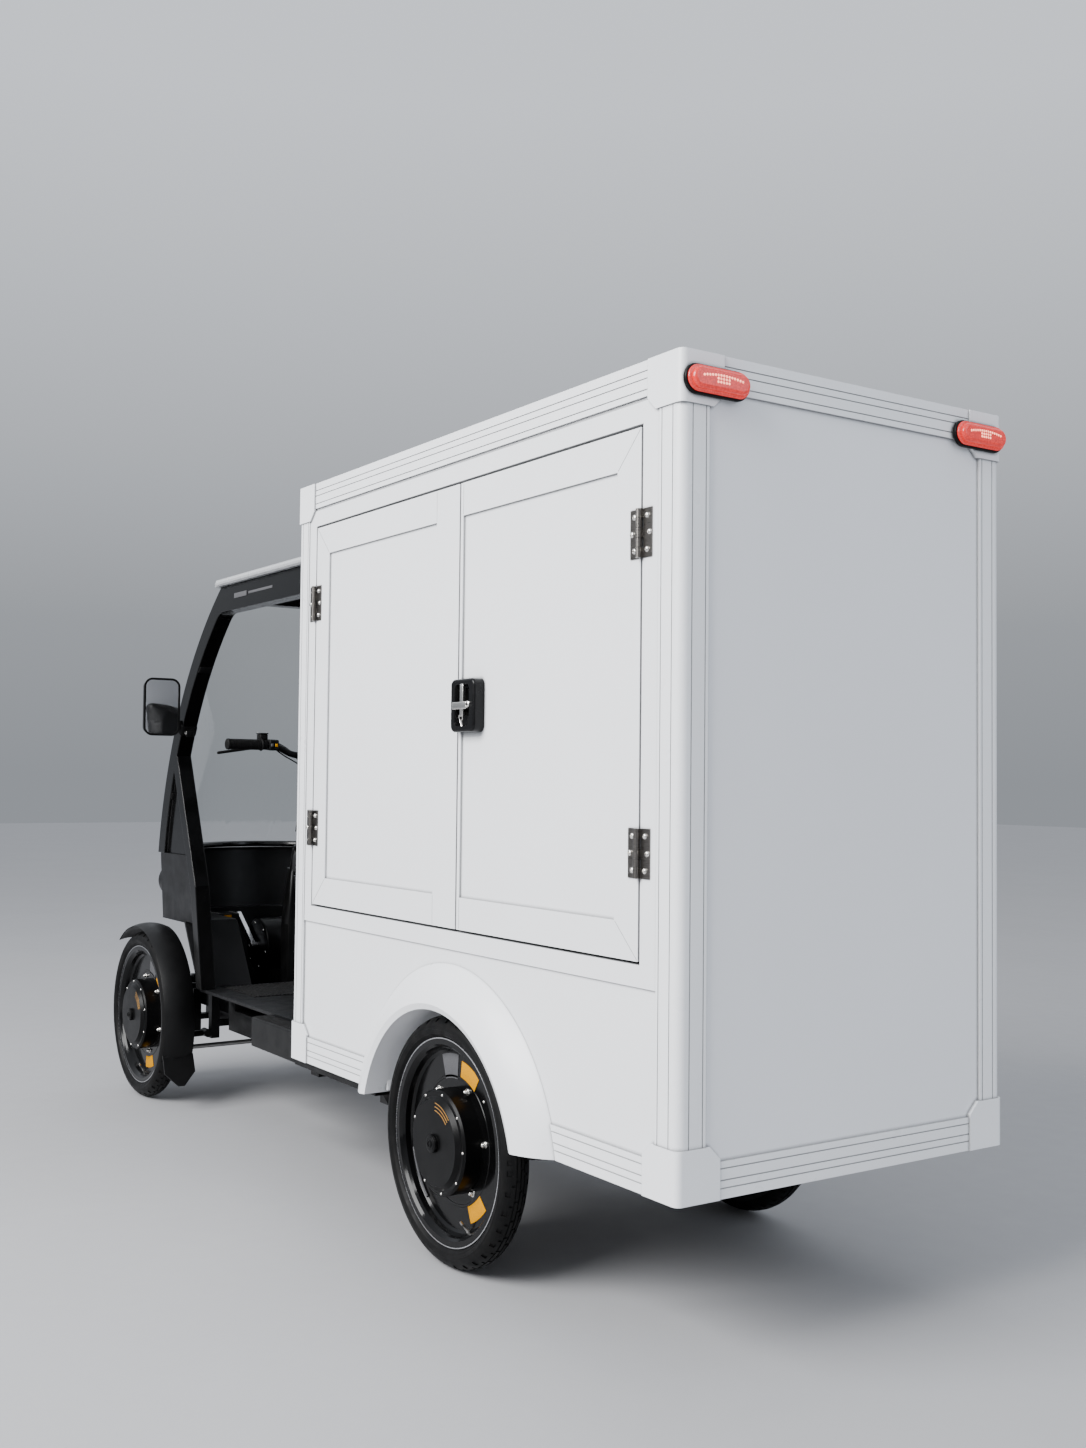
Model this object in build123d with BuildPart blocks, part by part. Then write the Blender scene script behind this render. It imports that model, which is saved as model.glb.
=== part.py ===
from build123d import *
import os
from math import cos, radians, sin, sqrt, tan

# A covered four-wheeled cargo bike: a pedal cab in front, a tall load box behind, hub motors.
# X points forward, Y to the rider's left, Z up. The ground is Z = 0, X = 0 is mid-length.

# Overall layout, millimetres
BOX_REAR_X = -1617.0
BOX_LENGTH = 1714.0
BOX_WIDTH = 912.0
BOX_HEIGHT = 1600.0
BOX_BOTTOM_Z = 338.0
REAR_AXLE_SETBACK = 839.0
WHEELBASE = 2134.0
TRACK = 870.0
TYRE_RADIUS = 286.0
TYRE_WIDTH = 70.0

# Clearances
FLAT_SEAT = 0.3
RUNNING_FIT = 0.05
MOVING_CLEARANCE = 6.0

# Load box sections
CAP_SIDE = 105.0
CAP_HEIGHT = 102.0
CAP_CHAMFER = 25.0
CAP_ROUND = 14.0
POST_SIDE = 68.0
POST_WALL = 24.0
POST_ROUND = 18.0
POST_SETBACK = 3.0
RAIL_HEIGHT = 70.0
RAIL_WALL = 22.0
RAIL_SETBACK = 4.0
GROOVE_WIDTH = 2.4
GROOVE_DEPTH = 1.6
RAIL_GROOVES = (20.0, 35.0, 57.0)
POST_GROOVES = (27.0, 60.0)
PANEL_SETBACK = 9.0
PANEL_THICKNESS = 20.0
FLOOR_THICKNESS = 20.0

# Side doors
SURROUND_WIDTH = 43.0
SURROUND_SETBACK = 5.0
DOOR_REAR_STATION = 123.0
DOOR_FRONT_STATION = 1600.0
DOOR_BOTTOM_Z = 769.0
DOOR_TOP_Z = 1817.0
DOOR_SPLIT_STATION = 818.0
DOOR_GAP = 6.0
DOOR_THICKNESS = 30.0
LEAF_MEMBER = 77.0
LEAF_LATCH_EDGE = 11.0
CENTRE_STILE = 107.0
LEAF_RECESS = 5.0
MITRE_WIDTH = 1.2
MITRE_MARGIN = 3.0
HINGE_LENGTH = 96.0
HINGE_LEAF = 34.0
HINGE_PLATE = 2.0
KNUCKLE_RADIUS = 6.5
HINGE_PIN_RADIUS = 3.0
HINGE_HEIGHTS = (983.0, 1602.0)
LATCH_WIDTH = 105.0
LATCH_HEIGHT = 122.0
LATCH_DEPTH = 24.0
LATCH_Z = 1290.0

# Wheel arches in the box sides
ARCH_CENTRE_Z = 245.0
ARCH_LIP_RADIUS = 345.0
ARCH_OUTER_RADIUS = 448.0
ARCH_PROUD = 49.0
LINER_WALL = 4.0
LINER_INNER_Y = 366.0

# Wheels
RIM_RADIUS = 236.0
RIM_WIDTH = 50.0
RIM_WALL = 4.0
RIM_SEAT_RADIUS = 219.0
DISC_RADIUS = 204.0
DISC_INSET = 4.0
DISC_THICKNESS = 5.0
MOTOR_RADIUS = 120.0
MOTOR_HALF = 45.0
MOTOR_FLANGE_RADIUS = 140.0
COVER_RADIUS = 101.0
COVER_PROUD = 10.0
AXLE_CAP_RADIUS = 21.0
AXLE_CAP_PROUD = 9.0
AXLE_RADIUS = 12.0
AXLE_REACH = 60.0

# Lamps
LAMP_LENGTH = 158.0
LAMP_HEIGHT = 58.0
LAMP_BASE = 8.0
LAMP_LENS = 17.0
LAMP_LENS_INSET = 9.0
LAMP_Y = 374.0
LAMP_BELOW_TOP = 57.0

# Chassis
RAIL_Y = 250.0
RAIL_TUBE = 60.0
CHASSIS_DEPTH = 70.0
CAB_DECK_Z = 405.0
SIDE_RAIL_WIDTH = 40.0
SIDE_RAIL_DEPTH = 21.0
CHASSIS_REAR_STATION = 60.0
CHASSIS_FRONT_STATION = 2600.0
CROSS_TUBE = 50.0
SILL_BOTTOM_Z = 318.0
SILL_INNER_Y = 320.0
SILL_OUTER_Y = 440.0
SIDE_RAIL_STATION = 1225.0
SILL_FRONT_STATION = 2025.0
NOSE_RAIL_Y = 140.0
NOSE_RAIL_TOP_Z = 290.0
NOSE_RAIL_BOTTOM_Z = 235.0
NOSE_RAIL_FRONT = 3110.0
ARM_POST_Y = 221.0
ARM_POST = 30.0
ARM_POST_TOP_Z = 400.0
ARM_POST_FOOT_Z = 195.0
MAST_WIDTH = 50.0
MAST_DEPTH = 60.0
MAST_STATION = 2730.0

# Suspension and steering linkage
KINGPIN_Y = 340.0
KINGPIN_RADIUS = 8.0
KNUCKLE_BAR = 28.0
BALL_RADIUS = 22.0
BALL_THICKNESS = 16.0
BALL_LOW_Z = 196.0
BALL_HIGH_Z = 374.0
KNUCKLE_GAP = 5.0
ARM_PIVOT_LOW_Z = 215.0
ARM_PIVOT_HIGH_Z = 380.0
ARM_SPREAD = 90.0
ARM_TUBE_RADIUS = 11.0
ARM_BUSH_RADIUS = 14.0
ARM_BUSH_LENGTH = 44.0
AXLE_BOSS_RADIUS = 24.0
STEERING_ARM = 150.0
STEERING_ARM_Z = 224.0
STEERING_ARM_THICKNESS = 12.0
TRACK_ROD_RADIUS = 8.0
TRACK_ROD_EYE = 15.0
TRACK_ROD_Z = 181.0
TRAILING_PIVOT_STATION = 1190.0
TRAILING_PIVOT_Z = 244.0
TRAILING_TUBE_RADIUS = 20.0
STRUT_Y = 300.0
STRUT_LOW_STATION = 785.0
STRUT_LOW_Z = 258.0
STRUT_HIGH_STATION = 540.0
STRUT_HIGH_Z = 314.0
STRUT_ROD_RADIUS = 7.0
STRUT_BODY_RADIUS = 14.0
FENDER_RADIUS = 304.0
FENDER_WALL = 3.0
FENDER_CROWN = 12.0
FENDER_INBOARD = 62.0
FENDER_OUTBOARD = 43.0
FENDER_FRONT_ANGLE = 52.0
FENDER_REAR_ANGLE = 200.0
FLAP_FOOT_Z = 88.0
FLAP_FOOT_STATION = 2640.0
STAY_ANGLES = (98.0, 165.0)
STAY_WIDTH = 16.0
STAY_THICKNESS = 2.0
STAY_RING_RADIUS = 34.0
STAY_RING_WIDTH = 8.0

# Cab
CAB_FLOOR_THICKNESS = 10.0
CAB_FLOOR_HALF = 385.0
TUNNEL_HALF = 205.0
TUNNEL_ARC_STATION = 3110.0
TUNNEL_FRONT_STATION = 3200.0
SPLASH_HEAD_STATION = 2740.0
PILLAR_OUTER_Y = 400.0
PILLAR_WIDTH = 50.0
PILLAR_DEPTH = 60.0
PILLAR_TOP_STATION = 2436.0
PILLAR_TOP_Z = 1735.0
PILLAR_FOOT_STATION = 2986.0
PILLAR_SAGITTA = 105.0
ROOF_RAIL_BOTTOM_Z = 1655.0
ROOF_FOOT_Z = 1745.0
CORNER_RADIUS = 90.0
ROOF_HALF = 420.0
ROOF_THICKNESS = 14.0
ROOF_FRONT_STATION = 2440.0
ROOF_CROWN_STATION = 2492.0
ROOF_LIP = 16.0
ROOF_LIP_DROP = 9.0
LIMB_WIDTH = 46.0
FRAME_PANEL = 4.0
HEADER_STATIONS = (1745.0, 2356.0)
HEADER_DEPTH = 50.0
HEADER_HEIGHT = 65.0
LIMB_HEAD_STATION = 2835.0
LIMB_HEAD_Z = 1180.0
LIMB_KNEE_STATION = 2640.0
LIMB_KNEE_Z = 745.0
LIMB_FOOT_STATION = 2570.0
SCUTTLE_Z = 850.0
SHOULDER_Z = 625.0
COWL_FRONT_STATION = 3250.0
COWL_SHOULDER_FRONT = 3225.0
COWL_ARC_STATION = 2960.0
COWL_HALF = 400.0
COWL_SHOULDER_HALF = 388.0
COWL_WALL = 5.0
SCUTTLE_LEDGE = 34.0
SCUTTLE_HALF = 340.0
SCREEN_THICKNESS = 5.0
SCREEN_SETBACK = 20.0
SCREEN_MIDDLE_Z = 1290.0
SCREEN_BULGES = (262.0, 150.0, 55.0)
SEAT_FRONT = 2290.0
SEAT_BACK_FOOT = 1812.0
SEAT_TOP_Z = 890.0
SEAT_WIDTH = 470.0
SEAT_CUSHION = 85.0
SEAT_BACK_TOP_Z = 1430.0
SEAT_BACK_THICKNESS = 80.0
SEAT_BACK_LEAN = 8.0
SEAT_ROUND = 22.0

# Steering and pedals
BAR_STATION = 2530.0
BAR_Z = 1229.0
BAR_HALF = 330.0
BAR_RADIUS = 11.0
BAR_STRAIGHT = 50.0
BAR_BEND_END = 185.0
BAR_SWEEP = 0.06
GRIP_RADIUS = 16.5
GRIP_LENGTH = 124.0
LEVER_CLAMP_RADIUS = 17.0
LEVER_CLAMP_WIDTH = 16.0
LEVER_RADIUS = 5.0
LEVER_TIP_STATION = 2590.0
LEVER_TIP_Z = 1200.0
DISPLAY_LENGTH = 62.0
DISPLAY_WIDTH = 96.0
DISPLAY_DEPTH = 18.0
HEAD_STATION = 2700.0
HEAD_Z = 760.0
HEAD_LENGTH = 110.0
HEAD_RADIUS = 26.0
COLUMN_RADIUS = 16.0
COLUMN_TAIL = 50.0
CLAMP_STATION = 2560.0
CLAMP_Z = 1195.0
CRANK_STATION = 2905.0
CRANK_Z = 512.0
CRANK_LENGTH = 165.0
CRANK_OFFSET = 72.0
CRANK_THICKNESS = 14.0
CRANK_HEIGHT = 28.0
CRANK_REST_ANGLE = 35.5
SPINDLE_RADIUS = 9.0
PEDAL_LENGTH = 80.0
PEDAL_WIDTH = 88.0
PEDAL_THICKNESS = 22.0
PEDAL_AXLE_RADIUS = 6.0
DRIVE_RADIUS = 96.0
DRIVE_WIDTH = 110.0

# Mirrors and headlamps
MIRROR_WIDTH = 126.0
MIRROR_HEIGHT = 196.0
MIRROR_DEPTH = 36.0
MIRROR_STATION = 2745.0
MIRROR_Y = 487.0
MIRROR_Z = 1354.0
MIRROR_ARM_RADIUS = 8.0
MIRROR_ARM_Z = 1290.0
MIRROR_ROUND = 30.0
MIRROR_RIM = 7.0
MIRROR_RECESS = 4.0
MIRROR_PAD = 6.0
HEADLAMP_RADIUS = 62.0
HEADLAMP_Y = 262.0
HEADLAMP_Z = 735.0
HEADLAMP_STATION = 3196.0
HEADLAMP_DEPTH = 130.0
LENS_INSET = 7.0
LENS_SOCKET = 10.0
LENS_PROUD = 9.0

# Places worked out from the layout
HALF_WIDTH = BOX_WIDTH / 2
BOX_FRONT_X = BOX_REAR_X + BOX_LENGTH
BOX_TOP_Z = BOX_BOTTOM_Z + BOX_HEIGHT
REAR_AXLE_X = BOX_REAR_X + REAR_AXLE_SETBACK
FRONT_AXLE_X = REAR_AXLE_X + WHEELBASE
WHEEL_Y = TRACK / 2


def ahead(station):
    """X of a place given as its distance ahead of the load box's rear face."""
    return BOX_REAR_X + station


os.makedirs("parts", exist_ok=True)

# Wheels: one tyre, rim and hub motor at each corner
CORNERS = (  # name, axle's X, side: +1 is the rider's left
    ("rear_left", REAR_AXLE_X, 1),
    ("rear_right", REAR_AXLE_X, -1),
    ("front_left", FRONT_AXLE_X, 1),
    ("front_right", FRONT_AXLE_X, -1),
)
SIDES = (("left", 1), ("right", -1))
for corner, axle_x, side in CORNERS:
    hub = (axle_x, side * WHEEL_Y, TYRE_RADIUS)
    section = Plane(origin=hub, x_dir=(0, side, 0), z_dir=(side, 0, 0))
    spin = Axis(hub, (0, 1, 0))
    half_tyre = TYRE_WIDTH / 2
    bead = RIM_WIDTH / 2 - RIM_WALL - FLAT_SEAT
    with BuildPart() as tyre:
        with BuildSketch(section):
            with BuildLine():
                seat_low = (-bead, RIM_SEAT_RADIUS + FLAT_SEAT)
                seat_high = (bead, RIM_SEAT_RADIUS + FLAT_SEAT)
                wall_low = (-bead, RIM_RADIUS + 1)
                wall_high = (bead, RIM_RADIUS + 1)
                bulge_r = (RIM_RADIUS + TYRE_RADIUS) / 2 - 2
                shoulder_r = TYRE_RADIUS - 9
                shoulder = 0.68 * half_tyre
                Polyline(wall_low, seat_low, seat_high, wall_high)
                ThreePointArc(wall_high, (half_tyre, bulge_r), (shoulder, shoulder_r))
                ThreePointArc((shoulder, shoulder_r), (0, TYRE_RADIUS), (-shoulder, shoulder_r))
                ThreePointArc((-shoulder, shoulder_r), (-half_tyre, bulge_r), wall_low)
            make_face()
        revolve(axis=spin)
    tyre.part.label = f"tyre_{corner}"
    export_step(tyre.part, f"parts/tyre_{corner}.step")

    half_rim = RIM_WIDTH / 2
    disc_out = -DISC_INSET
    disc_in = disc_out - DISC_THICKNESS
    with BuildPart() as rim:
        with BuildSketch(section):
            with BuildLine():
                Polyline(
                    (half_rim - RIM_WALL, RIM_SEAT_RADIUS),
                    (half_rim - RIM_WALL, RIM_RADIUS),
                    (half_rim, RIM_RADIUS),
                    (half_rim, RIM_SEAT_RADIUS + 2),
                    (half_rim - 6, RIM_SEAT_RADIUS - RIM_WALL),
                    (half_rim - 12, RIM_SEAT_RADIUS - 2 * RIM_WALL),
                    (disc_out + 5, DISC_RADIUS + 3),
                    (disc_out, DISC_RADIUS - 3),
                    (disc_out, MOTOR_RADIUS + FLAT_SEAT),
                    (disc_in, MOTOR_RADIUS + FLAT_SEAT),
                    (disc_in, DISC_RADIUS),
                    (RIM_WALL - half_rim, RIM_SEAT_RADIUS - RIM_WALL),
                    (-half_rim, RIM_SEAT_RADIUS),
                    (-half_rim, RIM_RADIUS),
                    (RIM_WALL - half_rim, RIM_RADIUS),
                    (RIM_WALL - half_rim, RIM_SEAT_RADIUS),
                    close=True,
                )
            make_face()
        revolve(axis=spin)
    rim.part.label = f"rim_{corner}"
    export_step(rim.part, f"parts/rim_{corner}.step")

    with BuildPart() as motor:
        with BuildSketch(section):
            with BuildLine():
                Polyline(
                    (-MOTOR_HALF, AXLE_RADIUS + RUNNING_FIT),
                    (-MOTOR_HALF, MOTOR_RADIUS - 14),
                    (-MOTOR_HALF + 8, MOTOR_RADIUS - 4),
                    (-MOTOR_HALF + 20, MOTOR_RADIUS),
                    (disc_in - 6, MOTOR_RADIUS),
                    (disc_in - 6, MOTOR_FLANGE_RADIUS),
                    (disc_in, MOTOR_FLANGE_RADIUS),
                    (disc_in, MOTOR_RADIUS),
                    (MOTOR_HALF - 5, MOTOR_RADIUS),
                    (MOTOR_HALF, MOTOR_RADIUS - 5),
                    (MOTOR_HALF, COVER_RADIUS + 5),
                    (MOTOR_HALF + COVER_PROUD, COVER_RADIUS - 4),
                    (MOTOR_HALF + COVER_PROUD, AXLE_CAP_RADIUS),
                    (MOTOR_HALF + COVER_PROUD + AXLE_CAP_PROUD - 3, AXLE_CAP_RADIUS),
                    (MOTOR_HALF + COVER_PROUD + AXLE_CAP_PROUD, AXLE_CAP_RADIUS - 3),
                    (MOTOR_HALF + COVER_PROUD + AXLE_CAP_PROUD, 0),
                    (AXLE_REACH - MOTOR_HALF + 4, 0),
                    (AXLE_REACH - MOTOR_HALF + 4, AXLE_RADIUS + RUNNING_FIT),
                    close=True,
                )
            make_face()
        revolve(axis=spin)
    motor.part.label = f"motor_{corner}"
    export_step(motor.part, f"parts/motor_{corner}.step")

# Load box: corner posts, each an L section with a rounded outer corner
post_foot_z = BOX_BOTTOM_Z + CAP_HEIGHT
post_height = BOX_HEIGHT - 2 * CAP_HEIGHT
post_x = BOX_LENGTH / 2 - POST_SETBACK
post_y = HALF_WIDTH - POST_SETBACK
box_mid_x = (BOX_REAR_X + BOX_FRONT_X) / 2
with BuildPart() as posts:
    with BuildSketch(Plane.XY.offset(post_foot_z)):
        with BuildLine() as post_line:
            corner_x = box_mid_x + post_x
            Polyline(
                (corner_x, post_y),
                (corner_x - POST_SIDE, post_y),
                (corner_x - POST_SIDE, post_y - POST_WALL),
                (corner_x - POST_WALL, post_y - POST_WALL),
                (corner_x - POST_WALL, post_y - POST_SIDE),
                (corner_x, post_y - POST_SIDE),
                close=True,
            )
        make_face()
        outer_corner = Vector(corner_x, post_y, post_foot_z)
        fillet(vertices().sort_by_distance(outer_corner)[:1], POST_ROUND)
        for groove in POST_GROOVES:
            with Locations((corner_x - groove, post_y), (corner_x, post_y - groove)):
                Rectangle(GROOVE_WIDTH, GROOVE_WIDTH, mode=Mode.SUBTRACT)
    extrude(amount=post_height)
    mirror(about=Plane.XZ)
    mirror(about=Plane.YZ.offset(box_mid_x))
posts.part.label = "box_posts"
export_step(posts.part, "parts/box_posts.step")

# Load box: corner caps, chamfered where they meet the rails and round at the corner
with BuildPart() as caps:
    cap_x = BOX_FRONT_X - CAP_SIDE / 2
    cap_y = HALF_WIDTH - CAP_SIDE / 2
    with Locations((cap_x, cap_y, BOX_BOTTOM_Z + CAP_HEIGHT / 2)):
        Box(CAP_SIDE, CAP_SIDE, CAP_HEIGHT)
    pocket = CAP_SIDE - RAIL_WALL - RAIL_SETBACK
    with Locations((BOX_FRONT_X - CAP_SIDE + pocket / 2, HALF_WIDTH - CAP_SIDE + pocket / 2,
                    BOX_BOTTOM_Z + CAP_HEIGHT / 2)):
        Box(pocket, pocket, CAP_HEIGHT, mode=Mode.SUBTRACT)
    upright = edges().filter_by(Axis.Z)
    fillet(upright.sort_by_distance(Vector(BOX_FRONT_X, HALF_WIDTH, BOX_BOTTOM_Z))[:1], CAP_ROUND)
    top_ends = edges().filter_by(Axis.Y).group_by(Axis.Z)[-1].group_by(Axis.X)[0]
    chamfer(top_ends, CAP_CHAMFER, CAP_CHAMFER)
    top_sides = edges().filter_by(Axis.X).group_by(Axis.Z)[-1].group_by(Axis.Y)[0]
    chamfer(top_sides, CAP_CHAMFER, CAP_CHAMFER)
    mirror(about=Plane.XZ)
    mirror(about=Plane.YZ.offset(box_mid_x))
    mirror(about=Plane.XY.offset(BOX_BOTTOM_Z + BOX_HEIGHT / 2))
caps.part.label = "corner_caps"
export_step(caps.part, "parts/corner_caps.step")

# Load box: grooved rails between the caps, four along the length and four across
with BuildPart() as rails:
    along = BOX_LENGTH - 2 * CAP_SIDE
    across = BOX_WIDTH - 2 * CAP_SIDE
    rail_y = HALF_WIDTH - RAIL_SETBACK
    rail_x = BOX_FRONT_X - RAIL_SETBACK
    with BuildSketch(Plane.YZ.offset(box_mid_x - along / 2)):
        with BuildLine():
            Polyline(
                (rail_y, BOX_BOTTOM_Z),
                (rail_y, BOX_BOTTOM_Z + RAIL_HEIGHT),
                (rail_y - RAIL_WALL, BOX_BOTTOM_Z + RAIL_HEIGHT),
                (rail_y - RAIL_WALL, BOX_BOTTOM_Z),
                close=True,
            )
        make_face()
        for groove in RAIL_GROOVES:
            with Locations((rail_y, BOX_BOTTOM_Z + groove)):
                Rectangle(2 * GROOVE_DEPTH, GROOVE_WIDTH, mode=Mode.SUBTRACT)
    extrude(amount=along)
    with BuildSketch(Plane.XZ.offset(-across / 2)):
        with BuildLine():
            Polyline(
                (rail_x, BOX_BOTTOM_Z),
                (rail_x, BOX_BOTTOM_Z + RAIL_HEIGHT),
                (rail_x - RAIL_WALL, BOX_BOTTOM_Z + RAIL_HEIGHT),
                (rail_x - RAIL_WALL, BOX_BOTTOM_Z),
                close=True,
            )
        make_face()
        for groove in RAIL_GROOVES:
            with Locations((rail_x, BOX_BOTTOM_Z + groove)):
                Rectangle(2 * GROOVE_DEPTH, GROOVE_WIDTH, mode=Mode.SUBTRACT)
    extrude(amount=across)
    mirror(about=Plane.XY.offset(BOX_BOTTOM_Z + BOX_HEIGHT / 2))
    mirror(about=Plane.XZ)
    mirror(about=Plane.YZ.offset(box_mid_x))
    with BuildSketch(Plane.XZ.offset(-rail_y - 1)):
        with Locations((REAR_AXLE_X, ARCH_CENTRE_Z)):
            Circle(ARCH_OUTER_RADIUS)
    extrude(amount=2 * rail_y + 2, mode=Mode.SUBTRACT)
rails.part.label = "box_rails"
export_step(rails.part, "parts/box_rails.step")

# Load box: front and rear walls, cut to the caps' outlines at their corners
def cap_outline(edge, inward, level, away):
    """Corners of a cap's outline, from an edge going inward and from a level going away."""
    across = edge + inward * CAP_SIDE
    top = level + away * CAP_HEIGHT
    return (
        (edge, level),
        (across, level),
        (across, top - away * CAP_CHAMFER),
        (across - inward * CAP_CHAMFER, top),
        (edge, top),
    )


wall_low_z = BOX_BOTTOM_Z + RAIL_HEIGHT
wall_high_z = BOX_TOP_Z - RAIL_HEIGHT
cap_levels = ((BOX_BOTTOM_Z, 1), (BOX_TOP_Z, -1))
END_WALLS = (  # name, outer face's X, way into the box
    ("box_rear_wall", BOX_REAR_X, 1),
    ("box_front_wall", BOX_FRONT_X, -1),
)
for wall_name, face_x, inward in END_WALLS:
    with BuildPart() as wall:
        with BuildSketch(Plane.YZ.offset(face_x + inward * PANEL_SETBACK)):
            with Locations((0, (wall_low_z + wall_high_z) / 2)):
                Rectangle(2 * (HALF_WIDTH - POST_SETBACK - POST_SIDE), wall_high_z - wall_low_z)
            for side in (-1, 1):
                for level, away in cap_levels:
                    with BuildLine():
                        Polyline(*cap_outline(side * HALF_WIDTH, -side, level, away), close=True)
                    make_face(mode=Mode.SUBTRACT)
        extrude(amount=inward * PANEL_THICKNESS)
    wall.part.label = wall_name
    export_step(wall.part, f"parts/{wall_name}.step")

# Load box: side walls, each a panel with a door opening, its raised surround and an arch
side_face_y = HALF_WIDTH - PANEL_SETBACK
surround_face_y = HALF_WIDTH - SURROUND_SETBACK
panel_inner_y = side_face_y - PANEL_THICKNESS
opening_length = DOOR_FRONT_STATION - DOOR_REAR_STATION
opening_mid_x = ahead((DOOR_FRONT_STATION + DOOR_REAR_STATION) / 2)
opening_height = DOOR_TOP_Z - DOOR_BOTTOM_Z
opening_mid_z = (DOOR_TOP_Z + DOOR_BOTTOM_Z) / 2
panel_length = BOX_LENGTH - 2 * (POST_SETBACK + POST_SIDE)
with BuildPart() as side_walls:
    with BuildSketch(Plane.XZ.offset(-panel_inner_y)):
        with Locations((box_mid_x, (wall_low_z + wall_high_z) / 2)):
            Rectangle(panel_length, wall_high_z - wall_low_z)
        for end_x, inward in ((BOX_REAR_X, 1), (BOX_FRONT_X, -1)):
            for level, away in cap_levels:
                with BuildLine():
                    Polyline(*cap_outline(end_x, inward, level, away), close=True)
                make_face(mode=Mode.SUBTRACT)
        with Locations((REAR_AXLE_X, ARCH_CENTRE_Z)):
            Circle(ARCH_LIP_RADIUS + LINER_WALL + FLAT_SEAT, mode=Mode.SUBTRACT)
    extrude(amount=-PANEL_THICKNESS)
    with BuildSketch(Plane.XZ.offset(-panel_inner_y)):
        with Locations((box_mid_x, opening_mid_z)):
            Rectangle(panel_length, opening_height + 2 * SURROUND_WIDTH)
        for end_x, inward in ((BOX_REAR_X, 1), (BOX_FRONT_X, -1)):
            with BuildLine():
                Polyline(*cap_outline(end_x, inward, BOX_TOP_Z, -1), close=True)
            make_face(mode=Mode.SUBTRACT)
    extrude(amount=-(surround_face_y - panel_inner_y))
    with BuildSketch(Plane.XZ.offset(-panel_inner_y + 1)):
        with Locations((opening_mid_x, opening_mid_z)):
            Rectangle(opening_length, opening_height)
    extrude(amount=-(surround_face_y - panel_inner_y + 2), mode=Mode.SUBTRACT)
    mirror(about=Plane.XZ)
side_walls.part.label = "box_side_walls"
export_step(side_walls.part, "parts/box_side_walls.step")

# Load box: floor with a notch over each rear wheel, and roof
floor_half_y = HALF_WIDTH - RAIL_SETBACK - RAIL_WALL
floor_length = BOX_LENGTH - 2 * (RAIL_SETBACK + RAIL_WALL)
with BuildPart() as box_floor:
    with BuildSketch(Plane.XY.offset(BOX_BOTTOM_Z)):
        with Locations((box_mid_x, 0)):
            Rectangle(floor_length, 2 * floor_half_y)
        notch = 2 * sqrt((ARCH_LIP_RADIUS + LINER_WALL) ** 2 - (BOX_BOTTOM_Z - ARCH_CENTRE_Z) ** 2)
        for side in (-1, 1):
            with Locations((REAR_AXLE_X, side * (LINER_INNER_Y + floor_half_y) / 2)):
                Rectangle(notch + 4, floor_half_y - LINER_INNER_Y + 2, mode=Mode.SUBTRACT)
    extrude(amount=FLOOR_THICKNESS)
box_floor.part.label = "box_floor"
export_step(box_floor.part, "parts/box_floor.step")

with BuildPart() as box_roof:
    with BuildSketch(Plane.XY.offset(BOX_TOP_Z - PANEL_THICKNESS)):
        with Locations((box_mid_x, 0)):
            Rectangle(floor_length, 2 * floor_half_y)
    extrude(amount=PANEL_THICKNESS - 4)
box_roof.part.label = "box_roof"
export_step(box_roof.part, "parts/box_roof.step")

# Wheel arches: a moulded flare outside and the liner of the wheel well inside
with BuildPart() as arches:
    arch_hub = (REAR_AXLE_X, 0, ARCH_CENTRE_Z)
    lip_y = HALF_WIDTH + ARCH_PROUD
    flare_foot_y = side_face_y + FLAT_SEAT
    with BuildSketch(Plane(origin=arch_hub, x_dir=(0, 1, 0), z_dir=(1, 0, 0))):
        with BuildLine():
            lip = ARCH_LIP_RADIUS
            outer = ARCH_OUTER_RADIUS
            Polyline(
                (LINER_INNER_Y, 0),
                (LINER_INNER_Y, lip + LINER_WALL),
                (flare_foot_y, lip + LINER_WALL),
                (flare_foot_y, outer),
            )
            ThreePointArc(
                (flare_foot_y, outer),
                (lip_y - 22, lip + 62),
                (lip_y, lip + 14),
            )
            Polyline(
                (lip_y, lip + 14),
                (lip_y - 6, lip),
                (LINER_INNER_Y + LINER_WALL, lip),
                (LINER_INNER_Y + LINER_WALL, 0),
                (LINER_INNER_Y, 0),
            )
        make_face()
    revolve(axis=Axis(arch_hub, (0, 1, 0)))
    split(bisect_by=Plane.XY.offset(BOX_BOTTOM_Z), keep=Keep.TOP)
    mirror(about=Plane.XZ)
arches.part.label = "wheel_arches"
export_step(arches.part, "parts/wheel_arches.step")

# Side doors: four leaves, each a mitred frame round a recessed panel
door_face_y = surround_face_y
leaf_low_z = DOOR_BOTTOM_Z + DOOR_GAP
leaf_high_z = DOOR_TOP_Z - DOOR_GAP
leaf_mid_z = (leaf_low_z + leaf_high_z) / 2
leaf_height = leaf_high_z - leaf_low_z
rear_pin_x = ahead(DOOR_REAR_STATION + DOOR_GAP / 2)
front_pin_x = ahead(DOOR_FRONT_STATION - DOOR_GAP / 2)
pin_y = door_face_y + HINGE_PLATE + KNUCKLE_RADIUS - 1
split_x = ahead(DOOR_SPLIT_STATION)
LEAVES = (  # name, hinge pin's X, way from the hinge to the free edge, free edge's frame width
    ("rear_leaf", rear_pin_x, 1, LEAF_LATCH_EDGE),
    ("front_leaf", front_pin_x, -1, CENTRE_STILE),
)
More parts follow.
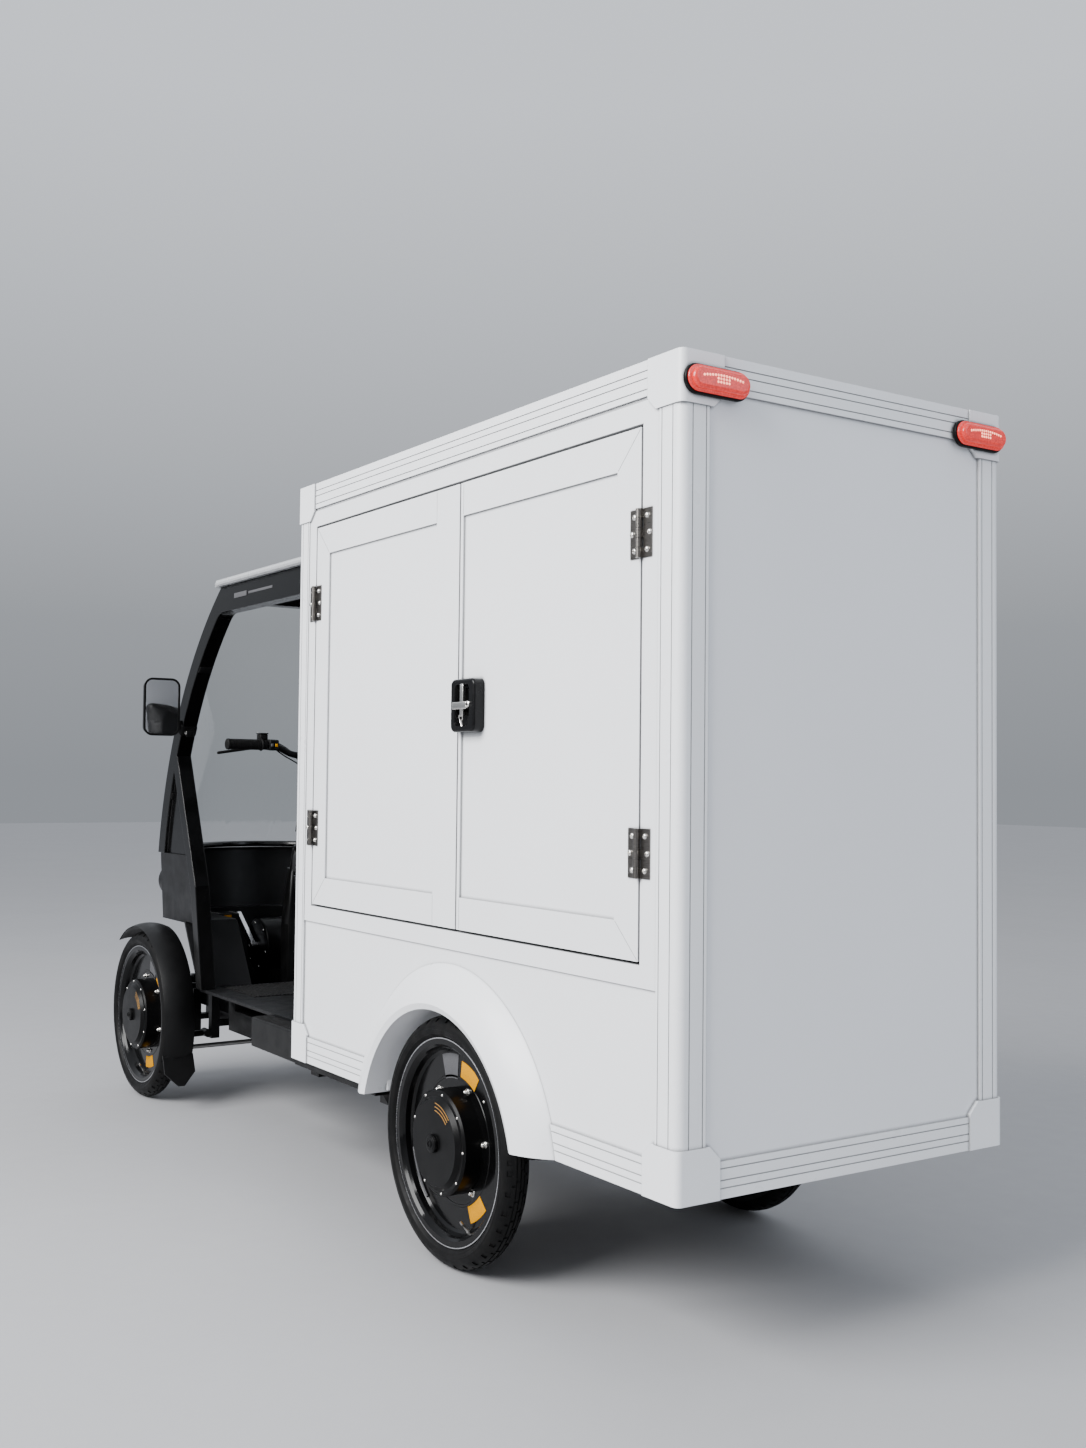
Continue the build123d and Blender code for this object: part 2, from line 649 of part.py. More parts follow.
for side_name, side in SIDES:
    for leaf_name, pin_x, reach, free_member in LEAVES:
        hinge_edge = pin_x + reach * DOOR_GAP / 2
        free_edge = split_x - reach * DOOR_GAP / 2
        inner_hinge = hinge_edge + reach * LEAF_MEMBER
        inner_free = free_edge - reach * free_member
        inner_low = leaf_low_z + LEAF_MEMBER - 3
        inner_high = leaf_high_z - LEAF_MEMBER
        face = Plane.XZ.offset(-door_face_y)
        with BuildPart() as leaf:
            with BuildSketch(face):
                with Locations(((hinge_edge + free_edge) / 2, leaf_mid_z)):
                    Rectangle(abs(free_edge - hinge_edge), leaf_height)
            extrude(amount=DOOR_THICKNESS)
            with BuildSketch(face):
                with Locations(((inner_hinge + inner_free) / 2, (inner_low + inner_high) / 2)):
                    Rectangle(abs(inner_free - inner_hinge), inner_high - inner_low)
            extrude(amount=LEAF_RECESS, mode=Mode.SUBTRACT)
            with BuildSketch(face):
                for inner_z, edge_z in ((inner_low, leaf_low_z), (inner_high, leaf_high_z)):
                    for inner_x, edge_x in ((inner_hinge, hinge_edge), (inner_free, inner_free)):
                        inner_end = Vector(inner_x, inner_z)
                        outer_end = Vector(edge_x, edge_z)
                        margin = (outer_end - inner_end).normalized() * MITRE_MARGIN
                        with BuildLine():
                            Line(inner_end + margin, outer_end - margin)
                        trace(line_width=MITRE_WIDTH)
            extrude(amount=MITRE_WIDTH, mode=Mode.SUBTRACT)
            if side < 0:
                mirror(about=Plane.XZ, mode=Mode.REPLACE)
        leaf.part.label = f"{side_name}_{leaf_name}"
        export_step(leaf.part, f"parts/{side_name}_{leaf_name}.step")

# Door hinges: five knuckles each, three on the box's half with the pin and two on the leaf's
def hinge_halves(pin_x, way, numbers, with_pin):
    """Adds one leaf's hinge halves on one side of the pin, on the left of the box."""
    knuckle = HINGE_LENGTH / 5
    tall = knuckle - 2 * FLAT_SEAT
    plate_start = KNUCKLE_RADIUS + 1
    for height in HINGE_HEIGHTS:
        with Locations((pin_x + way * (plate_start + HINGE_LEAF) / 2,
                        door_face_y + HINGE_PLATE / 2, height)):
            Box(HINGE_LEAF - plate_start, HINGE_PLATE, HINGE_LENGTH)
        for number in numbers:
            middle = height - HINGE_LENGTH / 2 + (number + 0.5) * knuckle
            with Locations((pin_x + way * (plate_start + 1) / 2,
                            door_face_y + 1.25 * HINGE_PLATE, middle)):
                Box(plate_start + 1, HINGE_PLATE * 1.5, tall)
            with Locations((pin_x, pin_y, middle)):
                Cylinder(KNUCKLE_RADIUS, tall)
        with Locations((pin_x, pin_y, height)):
            if with_pin:
                Cylinder(HINGE_PIN_RADIUS, HINGE_LENGTH)
            else:
                Cylinder(HINGE_PIN_RADIUS + RUNNING_FIT, HINGE_LENGTH + 2, mode=Mode.SUBTRACT)


with BuildPart() as hinge_plates:
    for leaf_name, pin_x, reach, free_member in LEAVES:
        hinge_halves(pin_x, -reach, (0, 2, 4), True)
    mirror(about=Plane.XZ)
hinge_plates.part.label = "hinge_plates"
export_step(hinge_plates.part, "parts/hinge_plates.step")

# Latches on the rear leaves: a dished housing, and a steel T handle among the leaf's fittings
latch_front_x = split_x - DOOR_GAP / 2 - 1
latch_mid_x = latch_front_x - LATCH_WIDTH / 2
latch_face_y = door_face_y + LATCH_DEPTH
latch_foot_y = door_face_y - LEAF_RECESS
for side_name, side in SIDES:
    with BuildPart() as latch:
        with BuildSketch(Plane.XZ.offset(-latch_foot_y)):
            with Locations((latch_mid_x, LATCH_Z)):
                RectangleRounded(LATCH_WIDTH, LATCH_HEIGHT, 16)
        extrude(amount=-(latch_face_y - latch_foot_y))
        fillet(faces().sort_by(Axis.Y)[-1].edges(), 6)
        with BuildSketch(Plane.XZ.offset(-latch_face_y)):
            with Locations((latch_mid_x, LATCH_Z)):
                RectangleRounded(LATCH_WIDTH - 40, LATCH_HEIGHT - 26, 12)
        extrude(amount=12, mode=Mode.SUBTRACT, taper=20)
        with Locations((latch_front_x, latch_foot_y + LEAF_RECESS / 2, LATCH_Z)):
            Box(2 * LEAF_LATCH_EDGE, LEAF_RECESS, LATCH_HEIGHT + 2, mode=Mode.SUBTRACT)
        if side < 0:
            mirror(about=Plane.XZ, mode=Mode.REPLACE)
    latch.part.label = f"{side_name}_latch_housing"
    export_step(latch.part, f"parts/{side_name}_latch_housing.step")
    for leaf_name, pin_x, reach, free_member in LEAVES:
        with BuildPart() as fittings:
            hinge_halves(pin_x, reach, (1, 3), False)
            if leaf_name == "rear_leaf":
                handle_y = latch_face_y - 12
                with BuildSketch(Plane.XZ.offset(-handle_y)):
                    with Locations((latch_mid_x, LATCH_Z + 12)):
                        RectangleRounded(11, 58, 4)
                    with Locations((latch_mid_x + 5, LATCH_Z)):
                        RectangleRounded(40, 15, 4)
                    with Locations((latch_mid_x, LATCH_Z - 14)):
                        Circle(9)
                extrude(amount=-12)
            if side < 0:
                mirror(about=Plane.XZ, mode=Mode.REPLACE)
        fittings.part.label = f"{side_name}_{leaf_name}_fittings"
        export_step(fittings.part, f"parts/{side_name}_{leaf_name}_fittings.step")

# Rear lamps: oval bases on the upper corners of the rear face, with domed lenses
lamp_z = BOX_TOP_Z - LAMP_BELOW_TOP
with BuildPart() as lenses:
    with BuildSketch(Plane.YZ.offset(BOX_REAR_X - LAMP_BASE)):
        with Locations((LAMP_Y, lamp_z)):
            SlotOverall(LAMP_LENGTH - 2 * LAMP_LENS_INSET, LAMP_HEIGHT - 2 * LAMP_LENS_INSET)
    extrude(amount=-LAMP_LENS)
    fillet(faces().sort_by(Axis.X)[0].edges(), 7)
    mirror(about=Plane.XZ)
lenses.part.label = "rear_lamp_lenses"
export_step(lenses.part, "parts/rear_lamp_lenses.step")

with BuildPart() as housings:
    with BuildSketch(Plane.YZ.offset(BOX_REAR_X)):
        with Locations((LAMP_Y, lamp_z)):
            SlotOverall(LAMP_LENGTH, LAMP_HEIGHT)
    extrude(amount=-LAMP_BASE)
    fillet(faces().sort_by(Axis.X)[0].edges(), 3)
    mirror(about=Plane.XZ)
housings.part.label = "rear_lamp_bases"
export_step(housings.part, "parts/rear_lamp_bases.step")

# Chassis: two box rails, cross tubes, the narrow nose rails, arm posts and the steering mast
chassis_low_z = BOX_BOTTOM_Z - CHASSIS_DEPTH
CROSS_STATIONS = (  # station, half length
    (CHASSIS_REAR_STATION + CROSS_TUBE / 2, RAIL_Y),
    (SIDE_RAIL_STATION + CROSS_TUBE / 2, SILL_OUTER_Y - SIDE_RAIL_WIDTH),
    (BOX_LENGTH - CROSS_TUBE / 2 - RAIL_WALL, SILL_OUTER_Y - SIDE_RAIL_WIDTH),
    (SILL_FRONT_STATION - CROSS_TUBE, SILL_INNER_Y),
    (CHASSIS_FRONT_STATION - CROSS_TUBE / 2, RAIL_Y),
)
RISER_STATIONS = (
    BOX_LENGTH + CROSS_TUBE,
    SILL_FRONT_STATION - CROSS_TUBE,
    CHASSIS_FRONT_STATION - CROSS_TUBE / 2,
)
ARM_STATIONS = (
    REAR_AXLE_SETBACK + WHEELBASE - ARM_SPREAD,
    REAR_AXLE_SETBACK + WHEELBASE + ARM_SPREAD,
)
head_top = (ahead(CLAMP_STATION), 0, CLAMP_Z)
head_foot = (ahead(HEAD_STATION), 0, HEAD_Z)
steer_way = (Vector(head_top) - Vector(head_foot)).normalized()
head_plane = Plane(origin=head_foot, x_dir=(0, 1, 0), z_dir=steer_way)
with BuildPart() as chassis:
    for side in (-1, 1):
        rail_length = CHASSIS_FRONT_STATION - CHASSIS_REAR_STATION
        with Locations((ahead(CHASSIS_REAR_STATION + rail_length / 2), side * RAIL_Y,
                        BOX_BOTTOM_Z - CHASSIS_DEPTH / 2)):
            Box(rail_length, RAIL_TUBE, CHASSIS_DEPTH)
        nose_rear = CHASSIS_FRONT_STATION - CROSS_TUBE
        nose_length = NOSE_RAIL_FRONT - nose_rear
        with Locations((ahead(nose_rear + nose_length / 2), side * NOSE_RAIL_Y,
                        (NOSE_RAIL_TOP_Z + NOSE_RAIL_BOTTOM_Z) / 2)):
            Box(nose_length, CROSS_TUBE, NOSE_RAIL_TOP_Z - NOSE_RAIL_BOTTOM_Z)
        with Locations((ahead(nose_rear + CROSS_TUBE / 2), side * NOSE_RAIL_Y,
                        (BOX_BOTTOM_Z + NOSE_RAIL_BOTTOM_Z) / 2)):
            Box(CROSS_TUBE, CROSS_TUBE, BOX_BOTTOM_Z - NOSE_RAIL_BOTTOM_Z)
        for station in ARM_STATIONS:
            with Locations((ahead(station), side * ARM_POST_Y,
                            (ARM_POST_TOP_Z + ARM_POST_FOOT_Z) / 2)):
                Box(ARM_POST, ARM_POST, ARM_POST_TOP_Z - ARM_POST_FOOT_Z)
        with Locations((ahead(TRAILING_PIVOT_STATION), side * RAIL_Y,
                        (chassis_low_z + TRAILING_PIVOT_Z + TRAILING_TUBE_RADIUS + FLAT_SEAT) / 2)):
            Box(RAIL_TUBE, RAIL_TUBE / 2,
                chassis_low_z - TRAILING_PIVOT_Z - TRAILING_TUBE_RADIUS - FLAT_SEAT)
        rail_end = BOX_LENGTH - SIDE_RAIL_STATION
        with Locations((ahead(SIDE_RAIL_STATION + rail_end / 2),
                        side * (SILL_OUTER_Y - SIDE_RAIL_WIDTH / 2),
                        BOX_BOTTOM_Z - SIDE_RAIL_DEPTH / 2)):
            Box(rail_end, SIDE_RAIL_WIDTH, SIDE_RAIL_DEPTH)
        for station in RISER_STATIONS:
            with Locations((ahead(station), side * RAIL_Y, (BOX_BOTTOM_Z + CAB_DECK_Z) / 2)):
                Box(CROSS_TUBE, RAIL_TUBE, CAB_DECK_Z - BOX_BOTTOM_Z)
    for station, half in CROSS_STATIONS:
        with Locations((ahead(station), 0, BOX_BOTTOM_Z - CROSS_TUBE / 2)):
            Box(CROSS_TUBE, 2 * half, CROSS_TUBE)
    for station in ARM_STATIONS:
        with Locations((ahead(station), 0, NOSE_RAIL_BOTTOM_Z + 10)):
            Box(ARM_POST, 2 * (ARM_POST_Y + ARM_POST / 2), 20)
    with Locations((ahead(NOSE_RAIL_FRONT - CROSS_TUBE / 2), 0,
                    (NOSE_RAIL_TOP_Z + NOSE_RAIL_BOTTOM_Z) / 2)):
        Box(CROSS_TUBE, 2 * NOSE_RAIL_Y, NOSE_RAIL_TOP_Z - NOSE_RAIL_BOTTOM_Z)
    with Locations((ahead(MAST_STATION), 0, NOSE_RAIL_TOP_Z - 20)):
        Box(MAST_DEPTH, 2 * NOSE_RAIL_Y, 40)
    with BuildSketch(Plane.XZ.offset(-MAST_WIDTH / 2)):
        with BuildLine():
            Polyline(
                (ahead(MAST_STATION + MAST_DEPTH / 2), NOSE_RAIL_TOP_Z - 10),
                (ahead(MAST_STATION + MAST_DEPTH / 2), HEAD_Z - 160),
                (ahead(HEAD_STATION + 18), HEAD_Z + 40),
                (ahead(HEAD_STATION - 26), HEAD_Z + 30),
                (ahead(MAST_STATION - MAST_DEPTH / 2), HEAD_Z - 160),
                (ahead(MAST_STATION - MAST_DEPTH / 2), NOSE_RAIL_TOP_Z - 10),
                close=True,
            )
        make_face()
    extrude(amount=MAST_WIDTH)
    with BuildSketch(head_plane):
        Circle(HEAD_RADIUS)
    extrude(amount=HEAD_LENGTH)
    with BuildSketch(head_plane.offset(-60)):
        Circle(COLUMN_RADIUS + RUNNING_FIT)
    extrude(amount=HEAD_LENGTH + 61, mode=Mode.SUBTRACT)
chassis.part.label = "chassis_frame"
export_step(chassis.part, "parts/chassis_frame.step")

# Battery boxes: one on each flank of the cab, their tops the steps into it
with BuildPart() as batteries:
    battery_rear = BOX_LENGTH + 1
    battery_length = SILL_FRONT_STATION - battery_rear
    with Locations((ahead(battery_rear + battery_length / 2),
                    (SILL_INNER_Y + SILL_OUTER_Y) / 2, (SILL_BOTTOM_Z + CAB_DECK_Z) / 2)):
        Box(battery_length, SILL_OUTER_Y - SILL_INNER_Y, CAB_DECK_Z - SILL_BOTTOM_Z)
    fillet(edges().filter_by(Axis.X).group_by(Axis.Y)[-1], 6)
    mirror(about=Plane.XZ)
batteries.part.label = "battery_boxes"
export_step(batteries.part, "parts/battery_boxes.step")

# Suspension arms: front wishbones, sprung in rubber bushes, and the rear trailing arms
def tube_between(start, end, radius):
    """Adds a round tube from one point to another."""
    way = Vector(end) - Vector(start)
    with BuildSketch(Plane(origin=start, z_dir=way.normalized())) as round_end:
        Circle(radius)
    extrude(round_end.sketch, amount=way.length)


axle_end_y = WHEEL_Y - MOTOR_HALF + AXLE_REACH
boss_end_y = WHEEL_Y - MOTOR_HALF - MOVING_CLEARANCE
with BuildPart() as arms:
    bush_y = ARM_POST_Y + ARM_POST / 2 + ARM_BUSH_RADIUS
    for ball_z, pivot_z in ((BALL_LOW_Z, ARM_PIVOT_LOW_Z), (BALL_HIGH_Z, ARM_PIVOT_HIGH_Z)):
        ball = (FRONT_AXLE_X, KINGPIN_Y, ball_z)
        for station in ARM_STATIONS:
            bush = (ahead(station), bush_y, pivot_z)
            tube_between(bush, ball, ARM_TUBE_RADIUS)
            tube_between((bush[0] - ARM_BUSH_LENGTH / 2, bush_y, pivot_z),
                         (bush[0] + ARM_BUSH_LENGTH / 2, bush_y, pivot_z), ARM_BUSH_RADIUS)
        with Locations(ball):
            Cylinder(BALL_RADIUS, BALL_THICKNESS + 3 * ARM_TUBE_RADIUS, mode=Mode.SUBTRACT)
            Cylinder(BALL_RADIUS, BALL_THICKNESS)
            Cylinder(KINGPIN_RADIUS + RUNNING_FIT, BALL_THICKNESS, mode=Mode.SUBTRACT)
    pivot_x = ahead(TRAILING_PIVOT_STATION)
    arm_inner_y = KINGPIN_Y - 10
    arm_outer_y = KINGPIN_Y + 14
    with BuildSketch(Plane.XZ.offset(-arm_inner_y)):
        with BuildLine():
            Polyline(
                (REAR_AXLE_X - 75, TYRE_RADIUS - 30),
                (REAR_AXLE_X - 75, TYRE_RADIUS - 4),
                (REAR_AXLE_X, TYRE_RADIUS + AXLE_BOSS_RADIUS),
                (pivot_x, TRAILING_PIVOT_Z + TRAILING_TUBE_RADIUS),
                (pivot_x, TRAILING_PIVOT_Z - TRAILING_TUBE_RADIUS),
                (REAR_AXLE_X, TYRE_RADIUS - AXLE_BOSS_RADIUS - 6),
                close=True,
            )
        make_face()
    extrude(amount=-(arm_outer_y - arm_inner_y))
    tube_between((pivot_x, 0, TRAILING_PIVOT_Z), (pivot_x, arm_outer_y, TRAILING_PIVOT_Z),
                 TRAILING_TUBE_RADIUS)
    tube_between((REAR_AXLE_X, arm_outer_y, TYRE_RADIUS), (REAR_AXLE_X, boss_end_y, TYRE_RADIUS),
                 AXLE_BOSS_RADIUS)
    tube_between((REAR_AXLE_X, boss_end_y, TYRE_RADIUS), (REAR_AXLE_X, axle_end_y, TYRE_RADIUS),
                 AXLE_RADIUS)
    mirror(about=Plane.XZ)
arms.part.label = "suspension_arms"
export_step(arms.part, "parts/suspension_arms.step")

# Rear struts: a bright rod into a sprung body, each end on its lug
with BuildPart() as struts:
    strut_foot = Vector(ahead(STRUT_LOW_STATION), STRUT_Y, STRUT_LOW_Z)
    strut_head = Vector(ahead(STRUT_HIGH_STATION), STRUT_Y, STRUT_HIGH_Z)
    reach = (strut_head - strut_foot).length
    strut_way = (strut_head - strut_foot).normalized()
    with BuildSketch(Plane(origin=strut_foot, x_dir=(0, 1, 0), z_dir=strut_way)):
        Circle(STRUT_ROD_RADIUS)
    extrude(amount=reach)
    with BuildSketch(Plane(origin=strut_foot + strut_way * reach * 0.4, x_dir=(0, 1, 0),
                           z_dir=strut_way)):
        Circle(STRUT_BODY_RADIUS)
    extrude(amount=reach * 0.5)
    rail_outer_y = RAIL_Y + RAIL_TUBE / 2
    for place, inner_y, outer_y in (
        (strut_foot, STRUT_Y - STRUT_BODY_RADIUS, arm_inner_y - FLAT_SEAT),
        (strut_head, rail_outer_y + FLAT_SEAT, STRUT_Y + STRUT_BODY_RADIUS),
    ):
        with Locations((place.X, (inner_y + outer_y) / 2, place.Z)):
            Cylinder(STRUT_BODY_RADIUS, outer_y - inner_y, rotation=(90, 0, 0))
    mirror(about=Plane.XZ)
struts.part.label = "rear_struts"
export_step(struts.part, "parts/rear_struts.step")

# Front knuckles: kingpin bar, axle boss and stub, steering arm
bar_low_z = BALL_LOW_Z + BALL_THICKNESS / 2 + KNUCKLE_GAP
bar_high_z = BALL_HIGH_Z - BALL_THICKNESS / 2 - KNUCKLE_GAP
for side_name, side in SIDES:
    with BuildPart() as knuckle:
        with Locations((FRONT_AXLE_X, KINGPIN_Y, (bar_low_z + bar_high_z) / 2)):
            Box(KNUCKLE_BAR + 6, KNUCKLE_BAR, bar_high_z - bar_low_z)
        fillet(edges().filter_by(Axis.Z), 6)
        tube_between((FRONT_AXLE_X, KINGPIN_Y, BALL_LOW_Z - BALL_THICKNESS / 2),
                     (FRONT_AXLE_X, KINGPIN_Y, BALL_HIGH_Z + BALL_THICKNESS / 2), KINGPIN_RADIUS)
        tube_between((FRONT_AXLE_X, KINGPIN_Y, TYRE_RADIUS), (FRONT_AXLE_X, boss_end_y, TYRE_RADIUS),
                     AXLE_BOSS_RADIUS)
        tube_between((FRONT_AXLE_X, boss_end_y, TYRE_RADIUS), (FRONT_AXLE_X, axle_end_y, TYRE_RADIUS),
                     AXLE_RADIUS)
        arm_mid_z = STEERING_ARM_Z + STEERING_ARM_THICKNESS / 2
        with Locations((FRONT_AXLE_X - STEERING_ARM / 2, KINGPIN_Y, arm_mid_z)):
            Box(STEERING_ARM, 20, STEERING_ARM_THICKNESS)
        rod_stud_z = TRACK_ROD_Z + 4 + FLAT_SEAT
        tube_between((FRONT_AXLE_X - STEERING_ARM, KINGPIN_Y, rod_stud_z),
                     (FRONT_AXLE_X - STEERING_ARM, KINGPIN_Y, STEERING_ARM_Z + STEERING_ARM_THICKNESS),
                     10)
        if side < 0:
            mirror(about=Plane.XZ, mode=Mode.REPLACE)
    knuckle.part.label = f"knuckle_{side_name}"
    export_step(knuckle.part, f"parts/knuckle_{side_name}.step")

# Track rod: joins the two steering arms under the nose rails
with BuildPart() as track_rod:
    rod_x = FRONT_AXLE_X - STEERING_ARM
    tube_between((rod_x, 0, TRACK_ROD_Z), (rod_x, KINGPIN_Y, TRACK_ROD_Z), TRACK_ROD_RADIUS)
    with Locations((rod_x, KINGPIN_Y, TRACK_ROD_Z)):
        Cylinder(TRACK_ROD_EYE, 2 * TRACK_ROD_RADIUS)
        with Locations((0, 0, TRACK_ROD_RADIUS)):
            Cylinder(TRACK_ROD_EYE + 2, 2 * (TRACK_ROD_RADIUS - 4), mode=Mode.SUBTRACT)
    mirror(about=Plane.XZ)
track_rod.part.label = "track_rod"
export_step(track_rod.part, "parts/track_rod.step")

# Front fenders: a crowned strip bent round the tyre, a flap below it and two stays on a ring
ring_inner_y = boss_end_y - STAY_RING_WIDTH - 1
for side_name, side in SIDES:
    fender_hub = (FRONT_AXLE_X, 0, TYRE_RADIUS)
    inner_y = WHEEL_Y - FENDER_INBOARD
    outer_y = WHEEL_Y + FENDER_OUTBOARD
    mid_y = (inner_y + outer_y) / 2
    low = FENDER_RADIUS
    crown = FENDER_RADIUS + FENDER_CROWN
    start_way = Vector(cos(radians(FENDER_FRONT_ANGLE)), 0, sin(radians(FENDER_FRONT_ANGLE)))
    end_way = Vector(cos(radians(FENDER_REAR_ANGLE)), 0, sin(radians(FENDER_REAR_ANGLE)))
    with BuildPart() as fender:
        with BuildSketch(Plane(origin=fender_hub, x_dir=(0, 1, 0),
                               z_dir=Vector(0, 1, 0).cross(start_way))):
            with BuildLine():
                ThreePointArc((inner_y, low), (mid_y, crown), (outer_y, low))
                Line((outer_y, low), (outer_y - FENDER_WALL, low))
                ThreePointArc((outer_y - FENDER_WALL, low), (mid_y, crown - FENDER_WALL),
                              (inner_y + FENDER_WALL, low))
                Line((inner_y + FENDER_WALL, low), (inner_y, low))
            make_face()
        revolve(axis=Axis(fender_hub, (0, -1, 0)),
                revolution_arc=FENDER_REAR_ANGLE - FENDER_FRONT_ANGLE)
        flap_head = Vector(FRONT_AXLE_X, mid_y, TYRE_RADIUS) + end_way * (low + crown) / 2
        flap_foot = Vector(ahead(FLAP_FOOT_STATION), mid_y, FLAP_FOOT_Z)
        flap_way = (flap_head - flap_foot).normalized()
        flap_length = (flap_head - flap_foot).length
        flap_plane = Plane(origin=flap_foot, x_dir=(0, 1, 0),
                           z_dir=Vector(0, 1, 0).cross(flap_way))
        with BuildSketch(flap_plane):
            with BuildLine():
                half_flap = (outer_y - inner_y) / 2
                Polyline((-half_flap, flap_length + 6), (half_flap, flap_length + 6),
                         (half_flap, flap_length * 0.45), (10, 0), (-10, 0),
                         (-half_flap, flap_length * 0.45), close=True)
            make_face()
        extrude(amount=FENDER_WALL, both=True)
        for stay_angle in STAY_ANGLES:
            stay_way = Vector(cos(radians(stay_angle)), 0, sin(radians(stay_angle)))
            with BuildSketch(Plane(origin=(FRONT_AXLE_X, inner_y + FENDER_WALL, TYRE_RADIUS),
                                   x_dir=stay_way, z_dir=(0, -1, 0))):
                with Locations((low / 2, 0)):
                    Rectangle(low + 2, STAY_WIDTH)
            extrude(amount=STAY_THICKNESS, both=True)
        with Locations((FRONT_AXLE_X, ring_inner_y + STAY_RING_WIDTH / 2, TYRE_RADIUS)):
            Cylinder(STAY_RING_RADIUS, STAY_RING_WIDTH, rotation=(90, 0, 0))
            Cylinder(AXLE_BOSS_RADIUS + FLAT_SEAT, 4 * STAY_RING_WIDTH, rotation=(90, 0, 0),
                     mode=Mode.SUBTRACT)
        if side < 0:
            mirror(about=Plane.XZ, mode=Mode.REPLACE)
    fender.part.label = f"fender_{side_name}"
    export_step(fender.part, f"parts/fender_{side_name}.step")

# Cab floor with the seat's tapered pedestal, and a lip down to the front cross tube
floor_top_z = CAB_DECK_Z + CAB_FLOOR_THICKNESS
cushion_foot_z = SEAT_TOP_Z - SEAT_CUSHION
deck_rear = BOX_LENGTH + 1
with BuildPart() as cab_floor:
    deck_length = CHASSIS_FRONT_STATION - deck_rear
    with Locations((ahead(deck_rear + deck_length / 2), 0, CAB_DECK_Z + CAB_FLOOR_THICKNESS / 2)):
        Box(deck_length, 2 * CAB_FLOOR_HALF, CAB_FLOOR_THICKNESS)
    lip_height = CAB_DECK_Z - BOX_BOTTOM_Z - FLAT_SEAT
    with Locations((ahead(CHASSIS_FRONT_STATION - COWL_WALL / 2), 0, CAB_DECK_Z - lip_height / 2)):
        Box(COWL_WALL, 2 * (RAIL_Y - RAIL_TUBE / 2 - 1), lip_height)
    pedestal_x = ahead((SEAT_FRONT + SEAT_BACK_FOOT) / 2)
    pedestal_length = SEAT_FRONT - SEAT_BACK_FOOT
    with BuildSketch(Plane.XY.offset(floor_top_z)):
        with Locations((pedestal_x, 0)):
            RectangleRounded(pedestal_length - 110, SEAT_WIDTH - 110, 30)
    with BuildSketch(Plane.XY.offset(cushion_foot_z - FLAT_SEAT)):
        with Locations((pedestal_x, 0)):
            RectangleRounded(pedestal_length - 30, SEAT_WIDTH - 50, 30)
    loft()
cab_floor.part.label = "cab_floor"
export_step(cab_floor.part, "parts/cab_floor.step")

# Pillar curve of the cab, shared by the side arches and the windscreen
pillar_top = Vector(ahead(PILLAR_TOP_STATION), PILLAR_TOP_Z)
pillar_foot = Vector(ahead(PILLAR_FOOT_STATION), SCUTTLE_Z)
pillar_chord = pillar_foot - pillar_top
half_chord = pillar_chord.length / 2
pillar_radius = (half_chord ** 2 + PILLAR_SAGITTA ** 2) / (2 * PILLAR_SAGITTA)
chord_way = pillar_chord.normalized()
outward = Vector(-chord_way.Y, chord_way.X)
pillar_centre = (pillar_top + pillar_foot) / 2 + outward * (PILLAR_SAGITTA - pillar_radius)


def pillar_x(height, inset):
    """X of the pillar's front edge at a height, set back along its radius by an inset."""
    radius = pillar_radius - inset
    return pillar_centre.X + sqrt(radius ** 2 - (height - pillar_centre.Y) ** 2)


# Limb of each side arch: leaves the pillar, bends at the knee and stands on the floor
limb_head = Vector(ahead(LIMB_HEAD_STATION), LIMB_HEAD_Z)
limb_knee = Vector(ahead(LIMB_KNEE_STATION), LIMB_KNEE_Z)
limb_foot = Vector(ahead(LIMB_FOOT_STATION), floor_top_z)


def limb_x(height, shift):
    """X of the limb's middle line at a height, moved forward by a shift."""
    low, high = (limb_foot, limb_knee) if height < limb_knee.Y else (limb_knee, limb_head)
    part_way = (height - low.Y) / (high.Y - low.Y)
    return low.X + part_way * (high.X - low.X) + shift


# Nose cowl: foot well between the wheels, splash panels, shelf over the tyres and round shell
def plan_outline(half, arc_station, front_station, rear_station):
    """Draws a plan outline: straight flanks, one arc for the front, straight across the rear."""
    Line((ahead(rear_station), half), (ahead(arc_station), half))
    ThreePointArc((ahead(arc_station), half), (ahead(front_station), 0),
                  (ahead(arc_station), -half))
    Polyline((ahead(arc_station), -half), (ahead(rear_station), -half),
             (ahead(rear_station), half))


